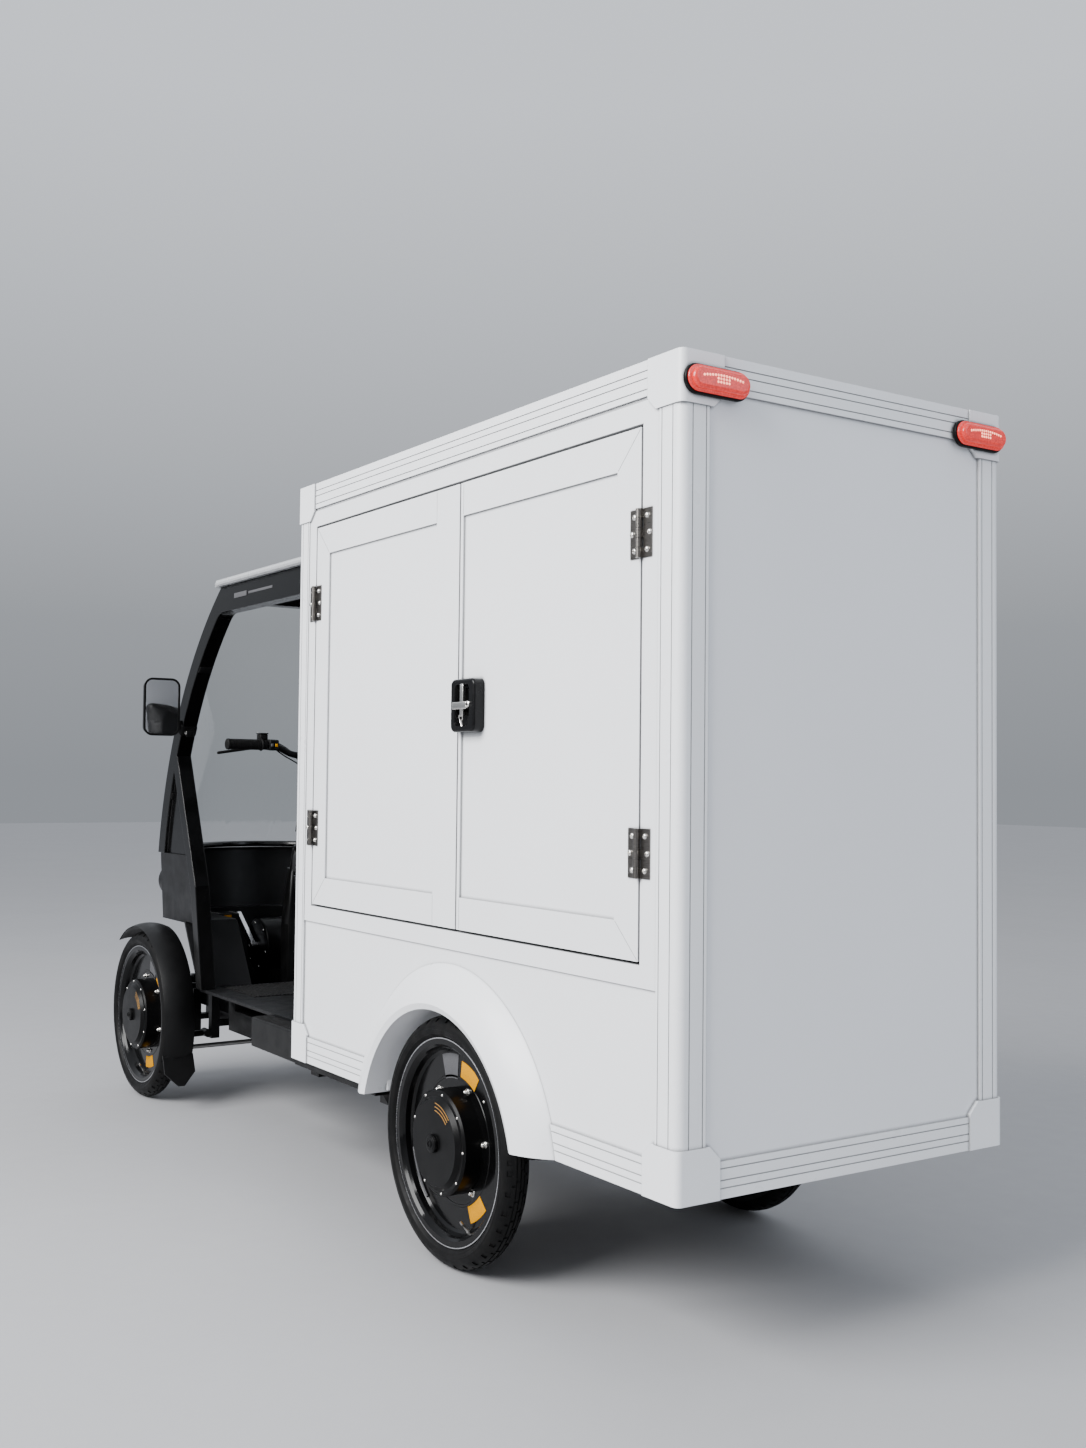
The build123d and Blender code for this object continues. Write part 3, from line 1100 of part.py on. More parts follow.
well_rear = CHASSIS_FRONT_STATION + 1
well_inner_half = TUNNEL_HALF - COWL_WALL
well_inner_front = TUNNEL_FRONT_STATION - COWL_WALL
shelf_foot_z = SHOULDER_Z - COWL_WALL
limb_front = LIMB_WIDTH / 2 + COWL_WALL
with BuildPart() as cowl:
    with BuildSketch(Plane.XY.offset(SHOULDER_Z)):
        with BuildLine():
            plan_outline(COWL_SHOULDER_HALF, COWL_ARC_STATION, COWL_SHOULDER_FRONT, well_rear)
        make_face()
    with BuildSketch(Plane.XY.offset(SCUTTLE_Z)):
        with BuildLine():
            plan_outline(COWL_HALF, COWL_ARC_STATION, COWL_FRONT_STATION, well_rear)
        make_face()
    loft(ruled=True)
    for side in (-1, 1):
        with Locations((ahead(HEADLAMP_STATION - HEADLAMP_DEPTH), side * HEADLAMP_Y, HEADLAMP_Z)):
            Cylinder(HEADLAMP_RADIUS, HEADLAMP_DEPTH, rotation=(0, 90, 0),
                     align=(Align.CENTER, Align.CENTER, Align.MIN))
    with BuildSketch(Plane.XY.offset(SHOULDER_Z - 1)):
        with BuildLine():
            plan_outline(COWL_SHOULDER_HALF - COWL_WALL, COWL_ARC_STATION,
                         COWL_SHOULDER_FRONT - COWL_WALL, well_rear - 1)
        make_face()
    with BuildSketch(Plane.XY.offset(SCUTTLE_Z - COWL_WALL)):
        with BuildLine():
            plan_outline(COWL_HALF - 1.1 * COWL_WALL, COWL_ARC_STATION,
                         COWL_FRONT_STATION - 1.1 * COWL_WALL, well_rear - 1)
        make_face()
    loft(ruled=True, mode=Mode.SUBTRACT)
    with BuildSketch(Plane.XY.offset(SCUTTLE_Z + 1)):
        with BuildLine():
            plan_outline(SCUTTLE_HALF, COWL_ARC_STATION, COWL_FRONT_STATION - SCUTTLE_LEDGE,
                         well_rear - 1)
        make_face()
    extrude(amount=-2 * COWL_WALL, mode=Mode.SUBTRACT)
    with BuildSketch(Plane.XY.offset(shelf_foot_z)):
        with BuildLine():
            plan_outline(COWL_SHOULDER_HALF, COWL_ARC_STATION, COWL_SHOULDER_FRONT, well_rear)
        make_face()
    extrude(amount=COWL_WALL)
    with BuildSketch(Plane.XY.offset(NOSE_RAIL_TOP_Z)):
        with BuildLine():
            plan_outline(TUNNEL_HALF, TUNNEL_ARC_STATION, TUNNEL_FRONT_STATION, well_rear)
        make_face()
    extrude(amount=shelf_foot_z - NOSE_RAIL_TOP_Z)
    with BuildSketch(Plane.XY.offset(NOSE_RAIL_TOP_Z + COWL_WALL)):
        with BuildLine():
            plan_outline(well_inner_half, TUNNEL_ARC_STATION, well_inner_front, well_rear - 1)
        make_face()
    extrude(amount=SHOULDER_Z - NOSE_RAIL_TOP_Z, mode=Mode.SUBTRACT)
    with BuildSketch(Plane.XZ.offset(-COWL_HALF - 1)):
        with BuildLine():
            Polyline(
                (ahead(well_rear - 2), floor_top_z),
                (ahead(well_rear), floor_top_z),
                (ahead(SPLASH_HEAD_STATION), SHOULDER_Z),
                (limb_x(SHOULDER_Z, limb_front), SHOULDER_Z),
                (limb_x(LIMB_KNEE_Z, limb_front), LIMB_KNEE_Z),
                (limb_x(SCUTTLE_Z + 1, limb_front), SCUTTLE_Z + 1),
                (ahead(well_rear - 2), SCUTTLE_Z + 1),
                close=True,
            )
        make_face()
    extrude(amount=2 * COWL_HALF + 2, mode=Mode.SUBTRACT)
    for side in (-1, 1):
        with BuildSketch(Plane.XZ.offset(-side * (well_inner_half + COWL_SHOULDER_HALF) / 2)):
            with BuildLine():
                Polyline(
                    (ahead(well_rear), floor_top_z),
                    (ahead(SPLASH_HEAD_STATION), SHOULDER_Z),
                    (ahead(SPLASH_HEAD_STATION + 2 * COWL_WALL), SHOULDER_Z),
                    (ahead(well_rear + COWL_WALL), floor_top_z),
                    close=True,
                )
            make_face()
        extrude(amount=(COWL_SHOULDER_HALF - well_inner_half) / 2, both=True)
    with Locations((ahead(MAST_STATION), 0, NOSE_RAIL_TOP_Z)):
        Box(MAST_DEPTH + 2 * FLAT_SEAT, MAST_WIDTH + 2 * FLAT_SEAT, 4 * COWL_WALL,
            mode=Mode.SUBTRACT)
    for side in (-1, 1):
        with Locations((ahead(HEADLAMP_STATION - LENS_SOCKET), side * HEADLAMP_Y, HEADLAMP_Z)):
            Cylinder(HEADLAMP_RADIUS - LENS_INSET, LENS_SOCKET + 1, rotation=(0, 90, 0),
                     align=(Align.CENTER, Align.CENTER, Align.MIN), mode=Mode.SUBTRACT)
cowl.part.label = "nose_cowl"
export_step(cowl.part, "parts/nose_cowl.step")

with BuildPart() as headlamps:
    lens_radius = HEADLAMP_RADIUS - LENS_INSET - FLAT_SEAT
    with Locations((ahead(HEADLAMP_STATION - LENS_SOCKET), HEADLAMP_Y, HEADLAMP_Z)):
        Cylinder(lens_radius, LENS_SOCKET + LENS_PROUD, rotation=(0, 90, 0),
                 align=(Align.CENTER, Align.CENTER, Align.MIN))
    fillet(faces().sort_by(Axis.X)[-1].edges(), LENS_PROUD)
    mirror(about=Plane.XZ)
headlamps.part.label = "headlamp_lenses"
export_step(headlamps.part, "parts/headlamp_lenses.step")

# Cab frame: side arches, each a pillar curving into a roof rail, a limb and a panel between
frame_rear_x = BOX_FRONT_X - POST_SETBACK + FLAT_SEAT
with BuildPart() as cab_frame:
    with BuildSketch(Plane.XZ.offset(-PILLAR_OUTER_Y)):
        with BuildLine():
            inner_foot_x = pillar_x(SCUTTLE_Z, PILLAR_DEPTH)
            inner_join_x = pillar_x(ROOF_RAIL_BOTTOM_Z, PILLAR_DEPTH)
            mid_z = (SCUTTLE_Z + PILLAR_TOP_Z) / 2
            low_z = (SCUTTLE_Z + ROOF_RAIL_BOTTOM_Z) / 2
            Polyline((frame_rear_x, ROOF_FOOT_Z), (pillar_top.X - PILLAR_DEPTH, ROOF_FOOT_Z),
                     (pillar_top.X, pillar_top.Y))
            ThreePointArc((pillar_top.X, pillar_top.Y), (pillar_x(mid_z, 0), mid_z),
                          (pillar_foot.X, pillar_foot.Y))
            Line((pillar_foot.X, pillar_foot.Y), (inner_foot_x, SCUTTLE_Z))
            ThreePointArc((inner_foot_x, SCUTTLE_Z), (pillar_x(low_z, PILLAR_DEPTH), low_z),
                          (inner_join_x, ROOF_RAIL_BOTTOM_Z))
            Polyline((inner_join_x, ROOF_RAIL_BOTTOM_Z), (frame_rear_x, ROOF_RAIL_BOTTOM_Z),
                     (frame_rear_x, ROOF_FOOT_Z))
        make_face()
        fillet(vertices().sort_by_distance(Vector(inner_join_x, ROOF_RAIL_BOTTOM_Z))[:1],
               CORNER_RADIUS)
    extrude(amount=PILLAR_WIDTH)
    with BuildSketch(Plane.XZ.offset(-PILLAR_OUTER_Y)):
        with BuildLine():
            Polyline((limb_head.X, limb_head.Y), (limb_knee.X, limb_knee.Y),
                     (limb_foot.X, limb_foot.Y), (limb_foot.X, limb_foot.Y - LIMB_WIDTH))
        trace(line_width=LIMB_WIDTH)
        with Locations((limb_foot.X, limb_foot.Y - LIMB_WIDTH)):
            Rectangle(4 * LIMB_WIDTH, 2 * LIMB_WIDTH, mode=Mode.SUBTRACT)
    extrude(amount=PILLAR_WIDTH)
    with BuildSketch(Plane.XZ.offset(-PILLAR_OUTER_Y + 3 * FRAME_PANEL)):
        with BuildLine():
            panel_mid_z = (SCUTTLE_Z + limb_head.Y) / 2
            Polyline((limb_head.X, limb_head.Y), (limb_x(SCUTTLE_Z, 0), SCUTTLE_Z),
                     (pillar_x(SCUTTLE_Z, PILLAR_DEPTH / 2), SCUTTLE_Z),
                     (pillar_x(panel_mid_z, PILLAR_DEPTH / 2), panel_mid_z), close=True)
        make_face()
    extrude(amount=FRAME_PANEL)
    pillar_inner_y = PILLAR_OUTER_Y - PILLAR_WIDTH
    for station in HEADER_STATIONS:
        with Locations((ahead(station), pillar_inner_y / 2, ROOF_FOOT_Z - HEADER_HEIGHT / 2)):
            Box(HEADER_DEPTH, pillar_inner_y, HEADER_HEIGHT)
    mirror(about=Plane.XZ)
cab_frame.part.label = "cab_frame"
export_step(cab_frame.part, "parts/cab_frame.step")

# Cab roof: a thin panel with a bowed front edge and a lip along each side
with BuildPart() as roof:
    with BuildSketch(Plane.XY.offset(ROOF_FOOT_Z)):
        with BuildLine():
            Line((frame_rear_x, ROOF_HALF), (ahead(ROOF_FRONT_STATION), ROOF_HALF))
            ThreePointArc((ahead(ROOF_FRONT_STATION), ROOF_HALF), (ahead(ROOF_CROWN_STATION), 0),
                          (ahead(ROOF_FRONT_STATION), -ROOF_HALF))
            Polyline((ahead(ROOF_FRONT_STATION), -ROOF_HALF), (frame_rear_x, -ROOF_HALF),
                     (frame_rear_x, ROOF_HALF))
        make_face()
        front_corners = vertices().group_by(Axis.X)[-1]
        fillet(front_corners, ROOF_LIP)
    extrude(amount=ROOF_THICKNESS)
    roof_rim = faces().sort_by(Axis.Z)[-1].edges().sort_by(Axis.X)[1:]
    fillet(roof_rim, ROOF_THICKNESS / 2)
    lip_length = ahead(PILLAR_TOP_STATION) - frame_rear_x
    for side in (-1, 1):
        with Locations((frame_rear_x + lip_length / 2, side * (ROOF_HALF - ROOF_LIP / 2),
                        ROOF_FOOT_Z - ROOF_LIP_DROP / 2)):
            Box(lip_length, ROOF_LIP, ROOF_LIP_DROP)
roof.part.label = "cab_roof"
export_step(roof.part, "parts/cab_roof.step")

# Windscreen: one clear sheet bowed forward, widest in its bow at the foot
screen_half = pillar_inner_y - FLAT_SEAT
screen_heights = (SCUTTLE_Z + FLAT_SEAT, SCREEN_MIDDLE_Z, ROOF_FOOT_Z - FLAT_SEAT)
with BuildPart() as screen:
    for height, bulge in zip(screen_heights, SCREEN_BULGES):
        edge_x = pillar_x(height, SCREEN_SETBACK)
        rear_x = edge_x - SCREEN_THICKNESS
        with BuildSketch(Plane.XY.offset(height)):
            with BuildLine():
                ThreePointArc((edge_x, screen_half), (edge_x + bulge, 0), (edge_x, -screen_half))
                Line((edge_x, -screen_half), (rear_x, -screen_half))
                ThreePointArc((rear_x, -screen_half), (rear_x + bulge, 0), (rear_x, screen_half))
                Line((rear_x, screen_half), (edge_x, screen_half))
            make_face()
    loft()
screen.part.label = "windscreen"
export_step(screen.part, "parts/windscreen.step")

# Mirrors: a pad on each pillar, a short arm and a rounded head with its glass facing rearward
mirror_x = ahead(MIRROR_STATION)
with BuildPart() as mirrors:
    pad_x = pillar_x(MIRROR_ARM_Z, PILLAR_DEPTH / 2)
    with Locations((pad_x, PILLAR_OUTER_Y + MIRROR_PAD / 2, MIRROR_ARM_Z)):
        Box(PILLAR_DEPTH - 16, MIRROR_PAD, PILLAR_DEPTH - 16)
    fillet(edges().filter_by(Axis.Y), 8)
    arm_end = (mirror_x, MIRROR_Y - MIRROR_WIDTH / 4, MIRROR_Z - MIRROR_HEIGHT / 4)
    tube_between((pad_x, PILLAR_OUTER_Y + MIRROR_PAD, MIRROR_ARM_Z), arm_end, MIRROR_ARM_RADIUS)
    with Locations((pad_x, PILLAR_OUTER_Y + MIRROR_PAD, MIRROR_ARM_Z)):
        Cylinder(MIRROR_ARM_RADIUS + 4, MIRROR_PAD, rotation=(90, 0, 0),
                 align=(Align.CENTER, Align.CENTER, Align.MAX))
    with BuildSketch(Plane.YZ.offset(mirror_x - MIRROR_DEPTH / 2)):
        with Locations((MIRROR_Y, MIRROR_Z)):
            RectangleRounded(MIRROR_WIDTH, MIRROR_HEIGHT, MIRROR_ROUND)
    extrude(amount=MIRROR_DEPTH, taper=14)
    glass_width = MIRROR_WIDTH - 2 * MIRROR_RIM
    glass_height = MIRROR_HEIGHT - 2 * MIRROR_RIM
    with BuildSketch(Plane.YZ.offset(mirror_x - MIRROR_DEPTH / 2)):
        with Locations((MIRROR_Y, MIRROR_Z)):
            RectangleRounded(glass_width, glass_height, MIRROR_ROUND - MIRROR_RIM)
    extrude(amount=MIRROR_RECESS, mode=Mode.SUBTRACT)
    mirror(about=Plane.XZ)
mirrors.part.label = "mirror_bodies"
export_step(mirrors.part, "parts/mirror_bodies.step")

with BuildPart() as glasses:
    with BuildSketch(Plane.YZ.offset(mirror_x - MIRROR_DEPTH / 2 + MIRROR_RECESS)):
        with Locations((MIRROR_Y, MIRROR_Z)):
            RectangleRounded(glass_width - 2 * FLAT_SEAT, glass_height - 2 * FLAT_SEAT,
                             MIRROR_ROUND - MIRROR_RIM - FLAT_SEAT)
    extrude(amount=1 - MIRROR_RECESS)
    mirror(about=Plane.XZ)
glasses.part.label = "mirror_glasses"
export_step(glasses.part, "parts/mirror_glasses.step")

# Seat: a cushion on the pedestal and a back leaning towards the load box
cushion_rear = SEAT_BACK_FOOT + SEAT_BACK_THICKNESS + 1
with BuildPart() as cushion:
    with Locations((ahead((SEAT_FRONT + cushion_rear) / 2), 0, (SEAT_TOP_Z + cushion_foot_z) / 2)):
        Box(SEAT_FRONT - cushion_rear, SEAT_WIDTH, SEAT_CUSHION)
    fillet(edges().filter_by(Axis.Z), SEAT_ROUND)
    fillet(faces().sort_by(Axis.Z)[-1].edges(), SEAT_ROUND)
cushion.part.label = "seat_cushion"
export_step(cushion.part, "parts/seat_cushion.step")

back_shift = (SEAT_BACK_TOP_Z - cushion_foot_z) * tan(radians(SEAT_BACK_LEAN))
with BuildPart() as seat_back:
    foot_x = ahead(SEAT_BACK_FOOT)
    with BuildSketch(Plane.XZ.offset(-SEAT_WIDTH / 2)):
        with BuildLine():
            Polyline(
                (foot_x, cushion_foot_z),
                (foot_x + SEAT_BACK_THICKNESS, cushion_foot_z),
                (foot_x + SEAT_BACK_THICKNESS - back_shift, SEAT_BACK_TOP_Z),
                (foot_x - back_shift, SEAT_BACK_TOP_Z),
                close=True,
            )
        make_face()
    extrude(amount=SEAT_WIDTH)
    fillet(edges().filter_by(Axis.Y).group_by(Axis.Z)[-1], SEAT_ROUND)
    fillet(faces().filter_by(Axis.Y).edges().group_by(Axis.Z)[1:], SEAT_ROUND)
seat_back.part.label = "seat_back"
export_step(seat_back.part, "parts/seat_back.step")

# Handlebar: the column in the head tube, its clamp, and a bar that rises to swept-back ends
column_length = (Vector(head_top) - Vector(head_foot)).length
bar_end = Vector(ahead(BAR_STATION), BAR_HALF, BAR_Z)


def bar_point(distance_y):
    """A point on the straight outer stretch of the left bar end."""
    return Vector(bar_end.X + BAR_SWEEP * (BAR_HALF - distance_y), distance_y, BAR_Z)


with BuildPart() as handlebar:
    with BuildSketch(head_plane.offset(-COLUMN_TAIL)):
        Circle(COLUMN_RADIUS)
    extrude(amount=COLUMN_TAIL + column_length)
    with BuildSketch(head_plane.offset(HEAD_LENGTH + FLAT_SEAT)):
        Circle(HEAD_RADIUS - 2)
    extrude(amount=14)
    with Locations(head_top):
        Cylinder(COLUMN_RADIUS + 6, BAR_STRAIGHT, rotation=(90, 0, 0))
    bend_start = Vector(head_top[0], BAR_STRAIGHT, head_top[2])
    with BuildLine() as bar_path:
        Line(head_top, bend_start)
        Spline(bend_start, bar_point(BAR_BEND_END),
               tangents=[Vector(0, 1, 0), Vector(-BAR_SWEEP, 1, 0)])
        Line(bar_point(BAR_BEND_END), bar_end)
    with BuildSketch(Plane(origin=head_top, x_dir=(1, 0, 0), z_dir=(0, 1, 0))) as bar_round:
        Circle(BAR_RADIUS)
    sweep(bar_round.sketch, path=bar_path.wire())
    mirror(about=Plane.XZ)
handlebar.part.label = "handlebar"
export_step(handlebar.part, "parts/handlebar.step")

# Bar controls: grips, brake levers on their clamps, and the display on the bar's clamp
with BuildPart() as controls:
    grip_inner = BAR_HALF + 2 - GRIP_LENGTH
    clamp_outer = grip_inner - 2
    clamp_inner = clamp_outer - LEVER_CLAMP_WIDTH
    tube_between(bar_point(grip_inner), bar_point(BAR_HALF + 2), GRIP_RADIUS)
    tube_between(bar_point(clamp_inner), bar_point(clamp_outer), LEVER_CLAMP_RADIUS)
    lever_root = bar_point((clamp_inner + clamp_outer) / 2) + Vector(LEVER_CLAMP_RADIUS, 0, -4)
    lever_elbow = Vector(lever_root.X + 34, lever_root.Y + 28, lever_root.Z - 8)
    lever_tip = Vector(ahead(LEVER_TIP_STATION), BAR_HALF + 8, LEVER_TIP_Z)
    with Locations((lever_root + bar_point(clamp_inner)) / 2 + Vector(6, 4, 0)):
        Box(34, LEVER_CLAMP_WIDTH - 4, 16)
    tube_between(lever_root - Vector(12, 0, 0), lever_elbow, LEVER_RADIUS)
    tube_between(lever_elbow, lever_tip, LEVER_RADIUS)
    with Locations(lever_elbow, lever_tip):
        Sphere(LEVER_RADIUS)
    with BuildSketch(Plane(origin=bar_point(clamp_inner - 5),
                           z_dir=Vector(-BAR_SWEEP, 1, 0).normalized())) as bar_bore:
        Circle(BAR_RADIUS + RUNNING_FIT)
    extrude(bar_bore.sketch, amount=BAR_HALF - clamp_inner + 5.5, mode=Mode.SUBTRACT)
    mirror(about=Plane.XZ)
    display_z = head_top[2] + COLUMN_RADIUS + 6 + FLAT_SEAT + DISPLAY_DEPTH / 2
    with Locations((head_top[0], 0, display_z)):
        Box(DISPLAY_LENGTH, DISPLAY_WIDTH, DISPLAY_DEPTH)
controls.part.label = "bar_controls"
export_step(controls.part, "parts/bar_controls.step")

# Pedal drive: the generator drum on its post, with the spindle's bore through it
crank_x = ahead(CRANK_STATION)
with BuildPart() as drive:
    with Locations((crank_x, 0, CRANK_Z)):
        Cylinder(DRIVE_RADIUS, DRIVE_WIDTH, rotation=(90, 0, 0))
    fillet(edges().filter_by(GeomType.CIRCLE), 8)
    post_foot = NOSE_RAIL_TOP_Z + COWL_WALL
    with Locations((crank_x, 0, (post_foot + CRANK_Z) / 2)):
        Box(DRIVE_RADIUS, DRIVE_WIDTH / 2, CRANK_Z - post_foot)
    with Locations((crank_x, 0, post_foot + COWL_WALL)):
        Box(2 * DRIVE_RADIUS, DRIVE_WIDTH, 2 * COWL_WALL)
    with Locations((crank_x, 0, CRANK_Z)):
        Cylinder(SPINDLE_RADIUS + RUNNING_FIT, DRIVE_WIDTH + 2, rotation=(90, 0, 0),
                 mode=Mode.SUBTRACT)
drive.part.label = "pedal_drive"
export_step(drive.part, "parts/pedal_drive.step")

# Cranks: spindle, two opposed arms and the pedals' axles in one piece
arm_outer_end_y = CRANK_OFFSET + CRANK_THICKNESS / 2
pedal_inner_y = arm_outer_end_y + MOVING_CLEARANCE + 1
crank_ends = {}
with BuildPart() as cranks:
    with Locations((crank_x, 0, CRANK_Z)):
        Cylinder(SPINDLE_RADIUS, 2 * arm_outer_end_y, rotation=(90, 0, 0))
    for side_name, side in SIDES:
        swing = radians(CRANK_REST_ANGLE)
        end_x = crank_x + side * CRANK_LENGTH * cos(swing)
        end_z = CRANK_Z + side * CRANK_LENGTH * sin(swing)
        crank_ends[side_name] = (end_x, end_z)
        with BuildSketch(Plane.XZ.offset(-side * CRANK_OFFSET)):
            with Locations(((crank_x + end_x) / 2, (CRANK_Z + end_z) / 2)):
                SlotCenterToCenter(CRANK_LENGTH, CRANK_HEIGHT, rotation=CRANK_REST_ANGLE)
        extrude(amount=CRANK_THICKNESS / 2, both=True)
        tube_between((end_x, side * CRANK_OFFSET, end_z),
                     (end_x, side * (pedal_inner_y + PEDAL_WIDTH + 2), end_z), PEDAL_AXLE_RADIUS)
cranks.part.label = "crankset"
export_step(cranks.part, "parts/crankset.step")

for side_name, side in SIDES:
    end_x, end_z = crank_ends[side_name]
    with BuildPart() as pedal:
        with Locations((end_x, side * (pedal_inner_y + PEDAL_WIDTH / 2), end_z)):
            Box(PEDAL_LENGTH, PEDAL_WIDTH, PEDAL_THICKNESS)
            fillet(edges().filter_by(Axis.Y), 5)
            Cylinder(PEDAL_AXLE_RADIUS + RUNNING_FIT, PEDAL_WIDTH + 2, rotation=(90, 0, 0),
                     mode=Mode.SUBTRACT)
    pedal.part.label = f"pedal_{side_name}"
    export_step(pedal.part, f"parts/pedal_{side_name}.step")
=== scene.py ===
import logging
import math
from dataclasses import dataclass, field
from enum import Enum
from typing import Callable, Sequence

import bmesh
import bpy
from mathutils import Matrix, Vector


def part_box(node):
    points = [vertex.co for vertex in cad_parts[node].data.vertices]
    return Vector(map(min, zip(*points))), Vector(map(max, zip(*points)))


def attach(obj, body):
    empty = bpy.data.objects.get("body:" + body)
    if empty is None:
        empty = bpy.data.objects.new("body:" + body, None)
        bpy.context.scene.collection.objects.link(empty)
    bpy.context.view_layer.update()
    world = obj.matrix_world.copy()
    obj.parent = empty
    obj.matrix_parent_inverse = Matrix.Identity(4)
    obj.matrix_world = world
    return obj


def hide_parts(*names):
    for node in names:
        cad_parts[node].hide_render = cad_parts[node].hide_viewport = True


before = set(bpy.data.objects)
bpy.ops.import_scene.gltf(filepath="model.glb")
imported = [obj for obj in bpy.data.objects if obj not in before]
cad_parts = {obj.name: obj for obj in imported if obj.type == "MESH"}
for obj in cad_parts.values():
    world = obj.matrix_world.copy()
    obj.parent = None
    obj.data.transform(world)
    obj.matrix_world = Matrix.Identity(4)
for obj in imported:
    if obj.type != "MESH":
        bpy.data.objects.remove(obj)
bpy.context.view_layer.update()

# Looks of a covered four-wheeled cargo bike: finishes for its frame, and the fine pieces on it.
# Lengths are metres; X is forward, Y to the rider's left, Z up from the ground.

Place = tuple[float, float, float]
Colour = tuple[float, float, float]
log = logging.getLogger("cargo_bike")

# Reach of the ambient occlusion that paints shade into grooves.
GROOVE_REACH = 0.008
MERGE_GAP = 1e-6
SIDES = (("left", 1.0), ("right", -1.0))


# ---------------------------------------------------------------- finishes

class Graph:
    """The node tree of one material, with short ways to add and join its nodes."""

    def __init__(self, name: str) -> None:
        """Starts a material with its shader and its object coordinates.

        Args:
            name: the material's name.
        """
        self.material = bpy.data.materials.new(name)
        self.material.use_nodes = True
        self.tree = self.material.node_tree
        self.shader = self.tree.nodes["Principled BSDF"]
        self.place = self.add("ShaderNodeTexCoord").outputs["Object"]

    def add(self, kind: str, **settings: object) -> bpy.types.Node:
        """Adds a node.

        Args:
            kind: the node's type.
            settings: its properties by name.

        Returns:
            The node.
        """
        node = self.tree.nodes.new(kind)
        for key, value in settings.items():
            setattr(node, key, value)
        return node

    def join(self, source: bpy.types.NodeSocket, target: bpy.types.NodeSocket) -> None:
        """Links an output to an input."""
        self.tree.links.new(source, target)

    def fix(self, **values: object) -> None:
        """Sets shader sockets that are even all over, by name with underscores for spaces."""
        for key, value in values.items():
            self.shader.inputs[key.replace("_", " ")].default_value = value

    def stretched(self, scale: Place, turn: Place = (0, 0, 0)) -> bpy.types.NodeSocket:
        """Object coordinates scaled and turned.

        Args:
            scale: factors along the three axes.
            turn: rotation in degrees.

        Returns:
            The coordinates' socket.
        """
        node = self.add("ShaderNodeMapping")
        node.inputs["Scale"].default_value = scale
        node.inputs["Rotation"].default_value = [math.radians(angle) for angle in turn]
        self.join(self.place, node.inputs["Vector"])
        return node.outputs["Vector"]

    def noise(self, scale: float, detail: float = 2.0, rough: float = 0.5,
              at: bpy.types.NodeSocket | None = None) -> bpy.types.NodeSocket:
        """Noise over the object.

        Args:
            scale: features a metre.
            detail: octaves.
            rough: weight of the finer octaves.
            at: coordinates, or none for the object's own.

        Returns:
            The noise, about 0.25 to 0.75.
        """
        node = self.add("ShaderNodeTexNoise")
        node.inputs["Scale"].default_value = scale
        node.inputs["Detail"].default_value = detail
        node.inputs["Roughness"].default_value = rough
        self.join(at or self.place, node.inputs["Vector"])
        return node.outputs["Fac"]

    def cells(self, scale: float, feature: str = "F1",
              at: bpy.types.NodeSocket | None = None) -> bpy.types.NodeSocket:
        """Distance in a cellular pattern.

        Args:
            scale: cells a metre.
            feature: F1 for centres, DISTANCE_TO_EDGE for borders.
            at: coordinates, or none for the object's own.

        Returns:
            The distance.
        """
        node = self.add("ShaderNodeTexVoronoi", feature=feature)
        node.inputs["Scale"].default_value = scale
        self.join(at or self.place, node.inputs["Vector"])
        return node.outputs["Distance"]

    def span(self, source: bpy.types.NodeSocket, start: float, end: float,
             low: float, high: float) -> bpy.types.NodeSocket:
        """Maps a value from one range to another, kept inside it.

        Args:
            source: the value.
            start: where the first range begins.
            end: where it ends.
            low: what its beginning becomes.
            high: what its end becomes.

        Returns:
            The mapped value.
        """
        node = self.add("ShaderNodeMapRange")
        for key, value in zip(("From Min", "From Max", "To Min", "To Max"),
                              (start, end, low, high)):
            node.inputs[key].default_value = value
        self.join(source, node.inputs["Value"])
        return node.outputs["Result"]

    def blend(self, share: bpy.types.NodeSocket, low: Colour | bpy.types.NodeSocket,
              high: Colour | bpy.types.NodeSocket) -> bpy.types.NodeSocket:
        """Mixes two colours by a share from 0 to 1.

        Args:
            share: 0 for the first colour, 1 for the second.
            low: the first colour, or its socket.
            high: the second colour, or its socket.

        Returns:
            The colour's socket.
        """
        node = self.add("ShaderNodeMix", data_type="RGBA")
        self.join(share, node.inputs["Factor"])
        for name, value in (("A", low), ("B", high)):
            socket = next(s for s in node.inputs if s.name == name and s.type == "RGBA")
            if isinstance(value, tuple):
                socket.default_value = (*value, 1.0)
            else:
                self.join(value, socket)
        return next(s for s in node.outputs if s.type == "RGBA")

    def times(self, first: bpy.types.NodeSocket,
              second: bpy.types.NodeSocket | float) -> bpy.types.NodeSocket:
        """Multiplies two values.

        Args:
            first: one value.
            second: the other, as a socket or a number.

        Returns:
            The product.
        """
        node = self.add("ShaderNodeMath", operation="MULTIPLY")
        self.join(first, node.inputs[0])
        if isinstance(second, float):
            node.inputs[1].default_value = second
        else:
            self.join(second, node.inputs[1])
        return node.outputs["Value"]

    def crevice(self, reach: float) -> bpy.types.NodeSocket:
        """How closed-in each point is within a short reach, 0 in the open to 1 in a groove.

        Args:
            reach: how far the closed-in space is looked for.

        Returns:
            The share.
        """
        # Ambient occlusion: its share paints shade into grooves and seams.
        node = self.add("ShaderNodeAmbientOcclusion", samples=6)
        node.inputs["Distance"].default_value = reach
        return self.span(node.outputs["AO"], 0.58, 0.97, 1.0, 0.0)

    def height(self) -> bpy.types.NodeSocket:
        """Z of the surface point, in metres.

        Returns:
            The height.
        """
        node = self.add("ShaderNodeSeparateXYZ")
        self.join(self.place, node.inputs["Vector"])
        return node.outputs["Z"]

    def colour(self, source: bpy.types.NodeSocket) -> None:
        """Takes the base colour from a socket."""
        self.join(source, self.shader.inputs["Base Color"])

